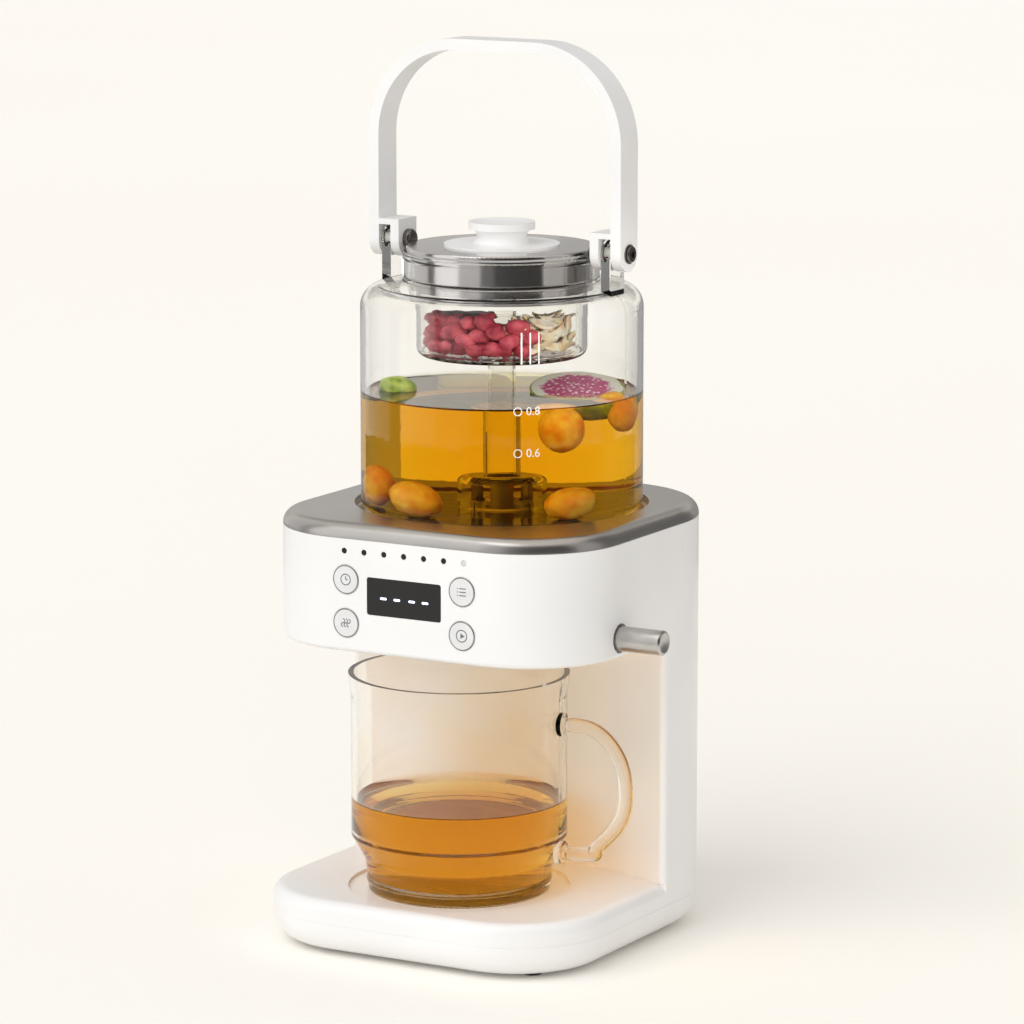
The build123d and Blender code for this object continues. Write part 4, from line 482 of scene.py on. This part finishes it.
ends = [edge for edge in digits.edges if abs(edge.verts[0].co.y - edge.verts[1].co.y) > 0.01 * mm]
bmesh.ops.bevel(
    digits, geom=ends, offset=0.35 * mm, affect="EDGES", segments=1, profile=0.5, material=-1
)
show(digits, "display_digits", lit_bar, "machine", smooth=False)

# Kettle: blown borosilicate glass with two lugs fused to its shoulder, and its valve and riser inside.
# Clear and faintly warm; its wall varies a little in thickness, which bends what lies behind it.
# Glass that lies against water hardly reflects, so its head-on gloss is kept low.
glass_gloss = (0.25, 0.25, 0.25, 1.0)


def clear_glass(name, tint, waviness):
    """A glass that bends light for the eye and lets the light of lamps straight through, a little tinted."""
    made, where, out = new_material(name)
    settings = {
        "Base Color": mottled(made, where, 60 * mm, tint, "#FFFFFF"),
        "Roughness": 0.0,
        "IOR": 1.47,
        "Specular Tint": glass_gloss,
        "Transmission Weight": 1.0,
        "Normal": fine_grain(made, where, 22 * mm, waviness, 1.0),
    }
    glass = add_node(made, "ShaderNodeBsdfPrincipled", settings)
    passing = add_node(made, "ShaderNodeBsdfTransparent", {"Color": colour("#FCFCFB")})
    path = add_node(made, "ShaderNodeLightPath")
    both = add_node(
        made, "ShaderNodeMixShader",
        {0: path.outputs["Is Shadow Ray"], 1: glass.outputs["BSDF"], 2: passing.outputs["BSDF"]},
    )
    wire(made, both.outputs["Shader"], out.inputs["Surface"])
    return made


borosilicate = clear_glass("blown_borosilicate", "#FBFAF7", 0.06 * mm)
dress(borosilicate, "kettle_glass", "infuser_cup")
tube_glass = clear_glass("drawn_borosilicate_tube", "#F7F6F2", 0.03 * mm)
dress(tube_glass, "riser_tube")

# Level marks: white enamel, printed on the kettle's wall and fired: rings beside plain numbers, and
# three fill lines above them. The enamel is opaque, satin, and a hair uneven.
enamel, where, out = new_material("fired_white_enamel")
settings = {
    "Base Color": mottled(enamel, where, 1 * mm, "#F2F2F0", "#FCFCFA"),
    "Roughness": uneven_gloss(enamel, where, 1 * mm, 0.3, 0.45),
    "IOR": 1.5,
}
shader = add_node(enamel, "ShaderNodeBsdfPrincipled", settings)
wire(enamel, shader.outputs["BSDF"], out.inputs["Surface"])
kettle_skin = 66.04 * mm
marks_turn, lines_turn = 36.0, 37.5
ring_r, ring_line = 1.8 * mm, 0.45 * mm
number_h, number_x = 5.4 * mm, 3.8 * mm
fill_line_h = 14.5 * mm


def on_kettle(shape, turn, z):
    """Bends a flat print, drawn about the origin, round the kettle's wall."""
    for vert in shape.verts:
        angle = math.radians(turn) + vert.co.x / kettle_skin
        up = vert.co.z
        vert.co = (
            kettle_x + kettle_skin * math.sin(angle),
            kettle_y - kettle_skin * math.cos(angle),
            z + up,
        )
    return shape


def add_number(shape, words, size, x):
    """Adds a printed number, its left end at x, centred in height on the origin."""
    letters = bpy.data.curves.new("number", "FONT")
    letters.body = words
    letters.size = size
    letters.align_y = "CENTER"
    holder = bpy.data.objects.new("number", letters)
    flat = bpy.data.meshes.new_from_object(holder)
    flat.transform(Matrix.Translation((x, 0, 0)) @ Matrix.Rotation(math.radians(90), 4, "X"))
    shape.from_mesh(flat)
    bpy.data.objects.remove(holder)
    bpy.data.meshes.remove(flat)
    bpy.data.curves.remove(letters)


for name, words, level in (("upper_mark", "0.8", 255.2), ("lower_mark", "0.6", 235.9)):
    mark = bmesh.new()
    print_arc(mark, 0, 0, ring_r, ring_line, y=0)
    add_number(mark, words, number_h, number_x)
    show(on_kettle(mark, marks_turn, level * mm), name, enamel, "kettle", smooth=False)
lines = bmesh.new()
for step, width in ((0, 0.8), (4.0, 0.7), (8.0, 0.6)):
    bmesh.ops.create_grid(
        lines, x_segments=1, y_segments=8, size=0.5,
        matrix=Matrix.Translation((step * mm, 0, 0))
        @ Matrix.Rotation(math.radians(90), 4, "X")
        @ Matrix.Diagonal((width * mm, fill_line_h, 1, 1)),
    )
show(on_kettle(lines, lines_turn, 284 * mm), "fill_lines", enamel, "kettle", smooth=False)

# Tea: amber and clear, to half the kettle's height and two fifths of the mug's, with a curl up the glass.
# It runs 0.1 mm into the glass, so that no film of air shows between the two, and hardly mirrors against it.
tea_gloss = (0.05, 0.05, 0.05, 1.0)
curl_h, curl_fade = 1.4, 1.5
curl_steps = (0, 0.3, 0.7, 1.2, 1.9, 2.8, 4, 6, 9)
least_bend, sharp_bend = 0.1, 1.65


def liquid(name, absorbed, density):
    """A clear liquid, the deeper in colour the more of it one looks through."""
    made, where, out = new_material(name)
    ripple = fine_grain(made, where, 30 * mm, 0.15 * mm, 1.0)
    settings = {
        "Base Color": colour("#FFFFFF"),
        "Roughness": 0.0,
        "IOR": 1.333,
        "Specular Tint": tea_gloss,
        "Transmission Weight": 1.0,
        "Normal": ripple,
    }
    surface = add_node(made, "ShaderNodeBsdfPrincipled", settings)
    passing = add_node(made, "ShaderNodeBsdfTransparent", {"Color": colour("#FFE7A6")})
    path = add_node(made, "ShaderNodeLightPath")
    both = add_node(
        made, "ShaderNodeMixShader",
        {0: path.outputs["Is Shadow Ray"], 1: surface.outputs["BSDF"], 2: passing.outputs["BSDF"]},
    )
    wire(made, both.outputs["Shader"], out.inputs["Surface"])
    body = add_node(made, "ShaderNodeVolumeAbsorption", {"Color": absorbed, "Density": density})
    wire(made, body.outputs["Volume"], out.inputs["Volume"])
    return made


amber_tea = liquid("amber_tea", (0.965, 0.823, 0.0, 1.0), 50.0)


def pour(name, bends, rounding, level, x, y, body):
    """Fills a round vessel to a level, all in millimetres. Bends are its wall's corners, floor first."""
    wall_r, contact = bends[-1][0], level * mm + 0.1 * mm
    curl = [(wall_r - off, level + curl_h * math.exp(-off / curl_fade)) for off in curl_steps]
    corners = [(0, bends[0][1]), *bends, *curl, (0, level)]
    shape = bmesh.new()
    turn_about(shape, [(x + r * mm, y, z * mm) for r, z in corners], (x, y, 0), (0, 0, 1), steps=160)
    bmesh.ops.remove_doubles(shape, verts=shape.verts, dist=0.001 * mm)
    bmesh.ops.recalc_face_normals(shape, faces=shape.faces)
    turns = [(edge, edge.calc_face_angle(0)) for edge in shape.edges]
    for edge, angle in turns:
        edge.smooth = angle < sharp_bend
    bent = [edge for edge, angle in turns if least_bend < angle < sharp_bend]
    bent = [edge for edge in bent if edge.verts[0].co.z < contact]
    bent = [edge for edge in bent if abs(edge.verts[0].co.z - edge.verts[1].co.z) < 0.001 * mm]
    bmesh.ops.bevel(
        shape, geom=bent, offset=rounding * mm, affect="EDGES", segments=6, profile=0.5, material=-1
    )
    piece = show(shape, name, amber_tea, body)
    piece.modifiers.new("even_shading", "WEIGHTED_NORMAL").keep_sharp = True
    return piece


pour("kettle_tea", ((63.7, 202.1),), 3.6, 254.5, kettle_x, kettle_y, "kettle")

# Fruit: dried kumquats soaked soft in the tea, two afloat and three on the floor, half a fig and some lime.
# The soaked flesh is waxy and lets light in; the skin keeps shallow wrinkles about 3 mm apart.
laid_from = math.radians(29.6)   # the bearing from which right and near are meant


def fruit_flesh(name, low, high, glow, depth, wrinkle, rough=0.25):
    """A waxy, slightly see-through skin that drifts between two shades."""
    made, where, out = new_material(name)
    settings = {
        "Base Color": mottled(made, where, 7 * mm, low, high),
        "Roughness": uneven_gloss(made, where, 4 * mm, rough, rough + 0.15),
        "IOR": 1.4,
        "Subsurface Weight": glow,
        "Subsurface Radius": (1.0, 0.45, 0.15),
        "Subsurface Scale": depth,
        "Normal": fine_grain(made, where, wrinkle, 0.4 * mm, 0.6),
    }
    shader = add_node(made, "ShaderNodeBsdfPrincipled", settings)
    wire(made, shader.outputs["BSDF"], out.inputs["Surface"])
    return made


kumquat = fruit_flesh("soaked_kumquat", "#F09A22", "#FFCB4E", 0.35, 4 * mm, 3 * mm)


def ripe_lump(shape, centre, size, turns, rumple, seed, detail=4):
    """A fruit-like ball of that size in millimetres, turned, and rumpled by a soft noise."""
    turned = Matrix.Identity(4)
    for degrees, axis in zip(turns, "XYZ"):
        turned = Matrix.Rotation(math.radians(degrees), 4, axis) @ turned
    made = bmesh.ops.create_icosphere(shape, subdivisions=detail, radius=1.0)["verts"]
    for vert in made:
        far = vert.co.normalized()
        broad = noise.noise(far * 1.6 + Vector((seed, 0, 0)))
        small = noise.noise(far * 4 + Vector((0, seed, 0)))
        vert.co = far * (1 + rumple * (broad + 0.4 * small))
    size = Matrix.Diagonal((size[0] * mm, size[1] * mm, size[2] * mm, 1))
    bmesh.ops.transform(shape, matrix=Matrix.Translation(centre) @ turned @ size, verts=made)
    return made


def in_kettle(across, nearer, z):
    """A point in the kettle, that far right of its axis and nearer than it, as one looks from laid_from."""
    return Vector((
        kettle_x + (across * math.cos(laid_from) + nearer * math.sin(laid_from)) * mm,
        kettle_y + (across * math.sin(laid_from) - nearer * math.cos(laid_from)) * mm,
        z * mm,
    ))


for name, across, nearer, z, size, turns in (
    ("kumquat_afloat", 25.0, 38, 243.5, (10.5, 9.5, 11), (10, 20, 0)),
    ("kumquat_by_wall", 50.0, 14, 247.5, (8.5, 8, 9.5), (0, 30, 40)),
    ("kumquat_left", -37.0, 36, 210.2, (13, 10, 8), (10, 12, 30)),
    ("kumquat_far_left", -50.5, 10, 212.5, (9.5, 9, 10), (0, 50, 10)),
    ("kumquat_right", 30.0, 43, 209.6, (12.5, 9.5, 7.4), (0, -8, 20)),
):
    ball = bmesh.new()
    ripe_lump(ball, in_kettle(across, nearer, z), size, turns, 0.06, across)
    show(ball, name, kumquat, "kettle")

# Lime: a curled bit of peel that floats, green with paler worn ridges.
lime = fruit_flesh("soaked_lime_peel", "#6F8F1E", "#C3CF63", 0.25, 2 * mm, 2.5 * mm)
wedge = bmesh.new()
ripe_lump(wedge, in_kettle(-49, -6, 255.5), (9.5, 7, 5.2), (0, 8, 20), 0.1, 3.0)
show(wedge, "lime_afloat", lime, "kettle")

# The fig is cut in half and floats with its cut face up: a green skin, a white rind 4 mm thick and pink flesh
# full of pale seeds about 1.2 mm across.
fig_skin = fruit_flesh("green_fig_skin", "#7E9638", "#B9C86A", 0.2, 2 * mm, 2 * mm, 0.35)
fig_centre = in_kettle(35, 1, 256.2)
fig_tilt = Matrix.Rotation(laid_from, 4, "Z") @ Matrix.Rotation(math.radians(13), 4, "X")
fig_flesh, where, out = new_material("cut_fig_flesh")
shift = add_node(fig_flesh, "ShaderNodeVectorMath", {"operation": "SUBTRACT", 0: where, 1: fig_centre})
reach = add_node(fig_flesh, "ShaderNodeVectorMath", {"operation": "LENGTH", 0: shift.outputs["Vector"]})
fray = add_node(fig_flesh, "ShaderNodeTexNoise", {"Vector": where, "Scale": 1 / (3.5 * mm), "Detail": 3.0})
fray_depth = 7 * mm
settings = {0: fray.outputs["Fac"], 1: fray_depth, 2: -fray_depth / 2, "operation": "MULTIPLY_ADD"}
frayed = add_node(fig_flesh, "ShaderNodeMath", settings)
edge = add_node(
    fig_flesh, "ShaderNodeMath",
    {"operation": "ADD", 0: reach.outputs["Value"], 1: frayed.outputs["Value"]},
)
rind = add_node(fig_flesh, "ShaderNodeMapRange", {
    "Value": edge.outputs["Value"], "From Min": 14.5 * mm, "From Max": 17.5 * mm,
    "interpolation_type": "SMOOTHSTEP",
})
seeds = add_node(fig_flesh, "ShaderNodeTexVoronoi", {"Vector": where, "Scale": 1 / (2.2 * mm)})
seed_ramp = add_node(fig_flesh, "ShaderNodeValToRGB", {"Fac": seeds.outputs["Distance"]})
seed_ramp.color_ramp.elements[0].position = 0.25
seed_ramp.color_ramp.elements[0].color = colour("#FFF0F3")
seed_ramp.color_ramp.elements[1].position = 0.42
seed_ramp.color_ramp.elements[1].color = colour("#CC5189")
blend = add_node(fig_flesh, "ShaderNodeMix", {
    "data_type": "RGBA", 0: rind.outputs["Result"], 6: seed_ramp.outputs["Color"], 7: colour("#FFFCEE"),
})
settings = {
    "Base Color": blend.outputs[2],
    "Roughness": 0.3,
    "IOR": 1.4,
    "Subsurface Weight": 0.3,
    "Subsurface Radius": (1.0, 0.5, 0.4),
    "Subsurface Scale": 2 * mm,
    "Normal": fine_grain(fig_flesh, where, 2 * mm, 0.5 * mm, 0.7),
}
shader = add_node(fig_flesh, "ShaderNodeBsdfPrincipled", settings)
wire(fig_flesh, shader.outputs["BSDF"], out.inputs["Surface"])
fig = bmesh.new()
ripe_lump(fig, Vector((0, 0, 0)), (22, 21, 12), (0, 0, 0), 0.03, 9.0, 5)
flat = bmesh.ops.bisect_plane(
    fig, geom=fig.verts[:] + fig.edges[:] + fig.faces[:], plane_co=(0, 0, 0), plane_no=(0, 0, 1),
    clear_outer=True,
)
rim_edges = [part for part in flat["geom_cut"] if isinstance(part, bmesh.types.BMEdge)]
caps = bmesh.ops.contextual_create(fig, geom=rim_edges)["faces"]
bmesh.ops.inset_region(fig, faces=caps, thickness=0.8 * mm, depth=0.3 * mm)
for cap in caps:
    cap.material_index = 1
bmesh.ops.triangulate(fig, faces=caps)
bmesh.ops.recalc_face_normals(fig, faces=fig.faces)
fig_sharp_bend = 0.7
for edge in fig.edges:
    edge.smooth = edge.calc_face_angle(0) < fig_sharp_bend
bmesh.ops.transform(fig, matrix=Matrix.Translation(fig_centre) @ fig_tilt, verts=fig.verts)
fig_piece = show(fig, "fig_half", fig_skin, "kettle")
fig_piece.data.materials.append(fig_flesh)

# Bail: the white handle is dressed with the housing, and turns on two bolts through the kettle's lugs.
# Bolts and nuts are turned from stainless steel and chemically darkened, so they gleam without being bright.
dark_steel, where, out = new_material("dark_satin_steel")
settings = {
    "Base Color": mottled(dark_steel, where, 3 * mm, "#6E6A66", "#7C7874"),
    "Metallic": 1.0,
    "Roughness": uneven_gloss(dark_steel, where, 2 * mm, 0.2, 0.32),
}
shader = add_node(dark_steel, "ShaderNodeBsdfPrincipled", settings)
wire(dark_steel, shader.outputs["BSDF"], out.inputs["Surface"])
dress(dark_steel, "bail_bolts", "bail_nuts")

# Infuser and lid: a collar pressed from sheet steel hangs in the kettle's neck and holds the glass cup, and
# the lid's plate closes it. Both are polished, with soft long waves that the pressing leaves in the gloss.
polished_steel, where, out = new_material("polished_stainless")
settings = {
    "Base Color": mottled(polished_steel, where, 30 * mm, "#C6C3C2", "#CFCCCB"),
    "Metallic": 1.0,
    "Roughness": uneven_gloss(polished_steel, where, 12 * mm, 0.12, 0.18),
}
shader = add_node(polished_steel, "ShaderNodeBsdfPrincipled", settings)
wire(polished_steel, shader.outputs["BSDF"], out.inputs["Surface"])
dress(polished_steel, "infuser_collar", "lid_plate")

# What it holds: dried red goji berries in front, pale dried lily petals on the right, and dark fruit behind.
# Berries dry to deep wrinkles about 1 mm apart; petals are leathery strips, cream with browner patches.
goji = fruit_flesh("dried_goji_skin", "#A02A3C", "#DC6672", 0.1, 1.5 * mm, 1 * mm, 0.35)
petal = fruit_flesh("dried_lily_petal", "#F0D2A8", "#FFF6E6", 0.35, 2 * mm, 1.2 * mm, 0.45)
dark_husk = fruit_flesh("dark_dried_husk", "#4A3038", "#8C6A66", 0.1, 1 * mm, 1.5 * mm, 0.4)
dice = random.Random(11)
cup_floor, cup_wall, sleeve_wall = 274.4, 37.4, 9.4
rounds, share_moved, sink = 60, 0.35, 0.15
goji_half_length = 5.2
petal_nearest, petal_furthest = 14, 30.5
petal_waves, petal_trough = 0.4, 0.12
husk_lowest, husk_inwards = 291, 0.82


def settle(count, radius, arc, top):
    """Centres for pieces of that radius dropped into a sector of the cup, pushed apart until few overlap."""
    heap = []
    for _ in range(count):
        angle = math.radians(dice.uniform(*arc))
        far = math.sqrt(dice.uniform((sleeve_wall + radius) ** 2, (cup_wall - radius) ** 2))
        height = dice.uniform(cup_floor + radius, top)
        heap.append(Vector((far * math.sin(angle), -far * math.cos(angle), height)))
    for _ in range(rounds):
        for i, one in enumerate(heap):
            for other in heap[:i]:
                gap = one - other
                if 0 < gap.length < 2 * radius:
                    push = gap.normalized() * (2 * radius - gap.length) * share_moved
                    one += push
                    other -= push
            one.z = max(one.z - sink, cup_floor + radius)
            flat = Vector((one.x, one.y))
            held = min(max(flat.length, sleeve_wall + radius), cup_wall - radius)
            one.x, one.y = one.x * held / flat.length, one.y * held / flat.length
    return heap


def place_in_cup(spot, nearest, furthest):
    """A centre of the heap as a place in metres, its distance from the cup's axis held to that range."""
    flat = Vector((spot.x, spot.y)).length
    held = min(max(flat, nearest), furthest) / flat
    return Vector((kettle_x, kettle_y, 0)) + Vector((spot.x * held, spot.y * held, spot.z)) * mm


berries = bmesh.new()
for spot in settle(66, 3.9, (-80, 42), 291):
    size = (dice.uniform(4.8, 5.8), dice.uniform(3.4, 4.0), dice.uniform(3.1, 3.7))
    turns = (dice.uniform(0, 180), dice.uniform(-30, 30), dice.uniform(-30, 60))
    place = place_in_cup(spot, 0, cup_wall - goji_half_length)
    ripe_lump(berries, place, size, turns, 0.2, dice.uniform(0, 50), 3)
show(berries, "goji_berries", goji, "infuser")

petals = bmesh.new()
for spot in settle(56, 3.6, (34, 170), 299):
    made = bmesh.ops.create_icosphere(petals, subdivisions=3, radius=1.0)["verts"]
    seed = dice.uniform(0, 50)
    long, wide, thick = dice.uniform(8.0, 11.0), dice.uniform(2.0, 2.9), dice.uniform(1.2, 1.7)
    curl = dice.uniform(0.07, 0.12)
    for vert in made:
        x, y, z = vert.co.x * long, vert.co.y * wide * (1 - 0.3 * vert.co.x), vert.co.z * thick
        z += petal_waves * noise.noise(Vector((x * 0.4, y * 0.7, seed))) + petal_trough * y * y
        y += (1 - math.cos(x * curl)) / curl
        vert.co = (math.sin(x * curl) / curl * mm, y * mm, z * mm)
    across = math.atan2(spot.y, spot.x) + math.pi / 2
    tip, roll = dice.uniform(-0.5, 0.5), dice.uniform(0.6, 2.6)
    turned = Matrix.Rotation(across, 4, "Z") @ Matrix.Rotation(tip, 4, "Y") @ Matrix.Rotation(roll, 4, "X")
    place = Matrix.Translation(place_in_cup(spot, petal_nearest, petal_furthest))
    bmesh.ops.transform(petals, matrix=place @ turned, verts=made)
show(petals, "lily_petals", petal, "infuser")

husks = bmesh.new()
for spot in settle(14, 5.2, (-125, -5), 297):
    spot.z = max(spot.z, husk_lowest)
    size = (dice.uniform(6, 8.5), dice.uniform(4, 5.5), dice.uniform(2.4, 3.4))
    turns = (dice.uniform(-30, 30), dice.uniform(-30, 30), dice.uniform(0, 180))
    spot.x, spot.y = spot.x * husk_inwards, spot.y * husk_inwards
    ripe_lump(husks, place_in_cup(spot, 0, cup_wall), size, turns, 0.2, dice.uniform(0, 50), 3)
show(husks, "dried_husks", dark_husk, "infuser")

# Mug: pressed borosilicate with a handle of drawn rod fused on; it stands in the base's shallow recess.
# A trace of amber in the glass gives it a warm edge.
mug_x, mug_y = -11.35 * mm, -29.7 * mm
mug_boro = clear_glass("pressed_borosilicate", "#FFF8EC", 0.05 * mm)
dress(mug_boro, "mug_glass")
pour("mug_tea", ((38.6, 29.7), (41.5, 42.2), (48.1, 53.2)), 2.5, 68.4, mug_x, mug_y, "mug")

# Stage: a sheet of cream paper under soft light from above and the left. Lamps, world and cards aren't part
# of the object; the cards are what its steel and glass mirror.
floor_shape = bmesh.new()
bmesh.ops.create_grid(floor_shape, x_segments=4, y_segments=4, size=20.0)
floor_mesh = bpy.data.meshes.new("floor")
floor_shape.to_mesh(floor_mesh)
floor_shape.free()
floor = bpy.data.objects.new("floor", floor_mesh)
bpy.context.scene.collection.objects.link(floor)


def eye_or_gloss(target):
    """1 for rays of the camera, of gloss and through glass, else 0."""
    path = add_node(target, "ShaderNodeLightPath")
    seen = path.outputs["Is Camera Ray"]
    for way in ("Is Glossy Ray", "Is Transmission Ray"):
        either = add_node(target, "ShaderNodeMath", {"operation": "MAXIMUM", 0: seen, 1: path.outputs[way]})
        seen = either.outputs["Value"]
    return seen


# Paper: matt and even. To the eye it glows a little, up to the world's own cream, and it keeps every shadow.
floor_lift = 0.09
paper, where, out = new_material("cream_paper_sweep")
lift = add_node(paper, "ShaderNodeMath", {"operation": "MULTIPLY", 0: eye_or_gloss(paper), 1: floor_lift})
settings = {
    "Base Color": mottled(paper, where, 1.5, "#FDF9F1", "#FEFBF5"),
    "Roughness": 0.9,
    "Specular IOR Level": 0.1,
    "Emission Color": colour("#FEFAF0"),
    "Emission Strength": lift.outputs["Value"],
}
shader = add_node(paper, "ShaderNodeBsdfPrincipled", settings)
wire(paper, shader.outputs["BSDF"], out.inputs["Surface"])
floor_mesh.materials.append(paper)

sky = bpy.data.worlds.new("studio")
bpy.context.scene.world = sky
sky.use_nodes = True
sky.node_tree.nodes.clear()
soft_light = add_node(sky, "ShaderNodeBackground", {"Color": colour("#FFFEFD"), "Strength": 0.63})
seen_colour = add_node(sky, "ShaderNodeBackground", {"Color": colour("#F8F3E8"), "Strength": 1.0})
chosen = add_node(
    sky, "ShaderNodeMixShader", {0: eye_or_gloss(sky), 1: soft_light.outputs[0], 2: seen_colour.outputs[0]}
)
add_node(sky, "ShaderNodeOutputWorld", {"Surface": chosen.outputs[0]})


def bearing(azimuth, elevation):
    """The direction from the object to something that stands at that azimuth and elevation in degrees."""
    a, e = math.radians(azimuth), math.radians(elevation)
    return Vector((math.sin(a) * math.cos(e), -math.cos(a) * math.cos(e), math.sin(e)))


def set_up(name, data, at, back):
    """Stands a lamp or the camera at a place, with its back turned that way."""
    made = bpy.data.objects.new(name, data)
    bpy.context.scene.collection.objects.link(made)
    made.location = at
    made.rotation_mode = "QUATERNION"
    made.rotation_quaternion = back.to_track_quat("Z", "Y")
    return made


cool_white = (0.97, 0.985, 1.0)
for name, azimuth, elevation, spread, strength in (("key", -22, 46, 50, 1.0), ("fill", 12, 14, 60, 0.7)):
    sun = bpy.data.lights.new(name, "SUN")
    sun.energy = strength
    sun.angle = math.radians(spread)
    sun.color = cool_white
    set_up(name, sun, (0, 0, 0), bearing(azimuth, elevation))


# Cards: they show in gloss only, those seen_through also through glass. Low dark ones stand where the tea's
# wall mirrors them, and the rear ones leave a gap at the height where the tea's top mirrors the backdrop.
def add_card(name, start, end, away, foot, top, shade, seen_through):
    """An upright studio card between two bearings round the object, in degrees and metres."""
    card_shape = bmesh.new()
    first = math.radians(start)
    at = [(away * math.sin(first), -away * math.cos(first), z) for z in (foot, top)]
    turn_about(card_shape, at, (0, 0, 0), (0, 0, 1), math.radians(end - start), steps=24)
    card_mesh = bpy.data.meshes.new(name)
    card_shape.to_mesh(card_mesh)
    card_shape.free()
    made, _, out = new_material(name)
    glow = add_node(made, "ShaderNodeEmission", {"Color": colour("#FFFDFB"), "Strength": shade})
    unseen = add_node(made, "ShaderNodeBsdfTransparent", {"Color": colour("#FFFFFF")})
    bounces = add_node(made, "ShaderNodeLightPath").outputs["Glossy Depth"]
    mirrored = add_node(made, "ShaderNodeMath", {"operation": "GREATER_THAN", 0: bounces, 1: 0.5})
    straight = glow if seen_through else unseen
    shown = add_node(
        made, "ShaderNodeMixShader",
        {0: mirrored.outputs["Value"], 1: straight.outputs[0], 2: glow.outputs[0]},
    )
    wire(made, shown.outputs["Shader"], out.inputs["Surface"])
    card_mesh.materials.append(made)
    card = bpy.data.objects.new(name, card_mesh)
    bpy.context.scene.collection.objects.link(card)
    card.visible_camera = False
    card.visible_diffuse = False
    card.visible_shadow = False
    card.visible_volume_scatter = False


for name, start, end, away, foot, top, shade, seen_through in (
    ("low_left_card", -140, 3, 0.88, 0.045, 0.1, 0.12, False),
    ("low_right_card", 3, 165, 0.88, 0.0, 0.1, 0.1, False),
    ("tea_side_card", 160, 188, 0.92, 0.0, 0.17, 0.5, True),
    ("left_softbox", -68, -25, 0.9, 0.1, 1.3, 1.25, False),
    ("left_far_card", -106, -68, 0.9, 0.1, 1.3, 0.8, False),
    ("left_grey_card", -25, 3, 0.9, 0.1, 1.3, 0.65, False),
    ("front_grey_card", 3, 20, 0.9, 0.1, 1.3, 0.18, False),
    ("front_dark_card", 20, 82, 0.9, 0.1, 1.3, 0.06, False),
    ("right_softbox", 84, 116, 0.9, 0.1, 1.3, 0.6, False),
    ("right_dark_card", 116, 165, 0.9, 0.1, 1.3, 0.2, False),
    ("rear_grey_card", 165, 206, 0.4, 0.1, 0.3, 0.4, False),
    ("rear_pale_card", 206, 250, 0.4, 0.1, 0.3, 0.58, False),
    ("high_grey_card", 165, 206, 0.4, 0.36, 0.8, 0.4, False),
    ("high_pale_card", 206, 250, 0.4, 0.36, 0.8, 0.48, False),
    ("left_edge_card", -72, -60, 0.85, 0.0, 1.3, 0.2, True),
    ("right_edge_card", 119, 131, 0.85, 0.0, 1.3, 0.2, True),
):
    add_card(name, start, end, away, foot, top, shade, seen_through)


def add_lamp(name, kind, at, towards, energy, tint):
    """A small lamp near the object that shows neither in gloss nor through glass."""
    lamp = bpy.data.lights.new(name, kind)
    lamp.energy = energy
    lamp.color = tint
    holder = set_up(name, lamp, at, Vector(at) - Vector(towards))
    holder.visible_glossy = False
    holder.visible_transmission = False
    return lamp


# Sunlight that the tea throws on the column's hollow face, and a narrow spot on what the glass holds.
glow = add_lamp("tea_glow", "AREA", (-0.01, -0.06, 0.115), (0.005, -0.01, 0.09), 0.044, (1.0, 0.64, 0.28))
glow.size = 0.05
spot = add_lamp("glass_spot", "SPOT", (0.40, -0.18, 0.36), (0.0, 0.01, 0.277), 3.6, (1.0, 0.97, 0.92))
spot.spot_size = math.radians(13)
spot.spot_blend = 0.5
spot.shadow_soft_size = 0.03

# Camera: a long lens some 2.3 m away, to the right of the front and a little above the object's top. Light
# crosses many walls of glass and tea on its way through kettle and cup, so it may bounce often.
camera_data = bpy.data.cameras.new("camera")
camera_data.sensor_width = 36.0
camera_data.lens = 175.53
camera_data.clip_end = 100.0
look_at, distance = Vector((-5.92 * mm, 10.5 * mm, 197.7 * mm)), 2.3365
back = bearing(29.61, 10.2)
bpy.context.scene.camera = set_up("camera", camera_data, look_at + back * distance, back)
bpy.context.scene.view_settings.view_transform = "Standard"
bpy.context.scene.cycles.max_bounces = 20
bpy.context.scene.cycles.transmission_bounces = 20
bpy.context.scene.cycles.transparent_max_bounces = 32

bpy.context.view_layer.update()
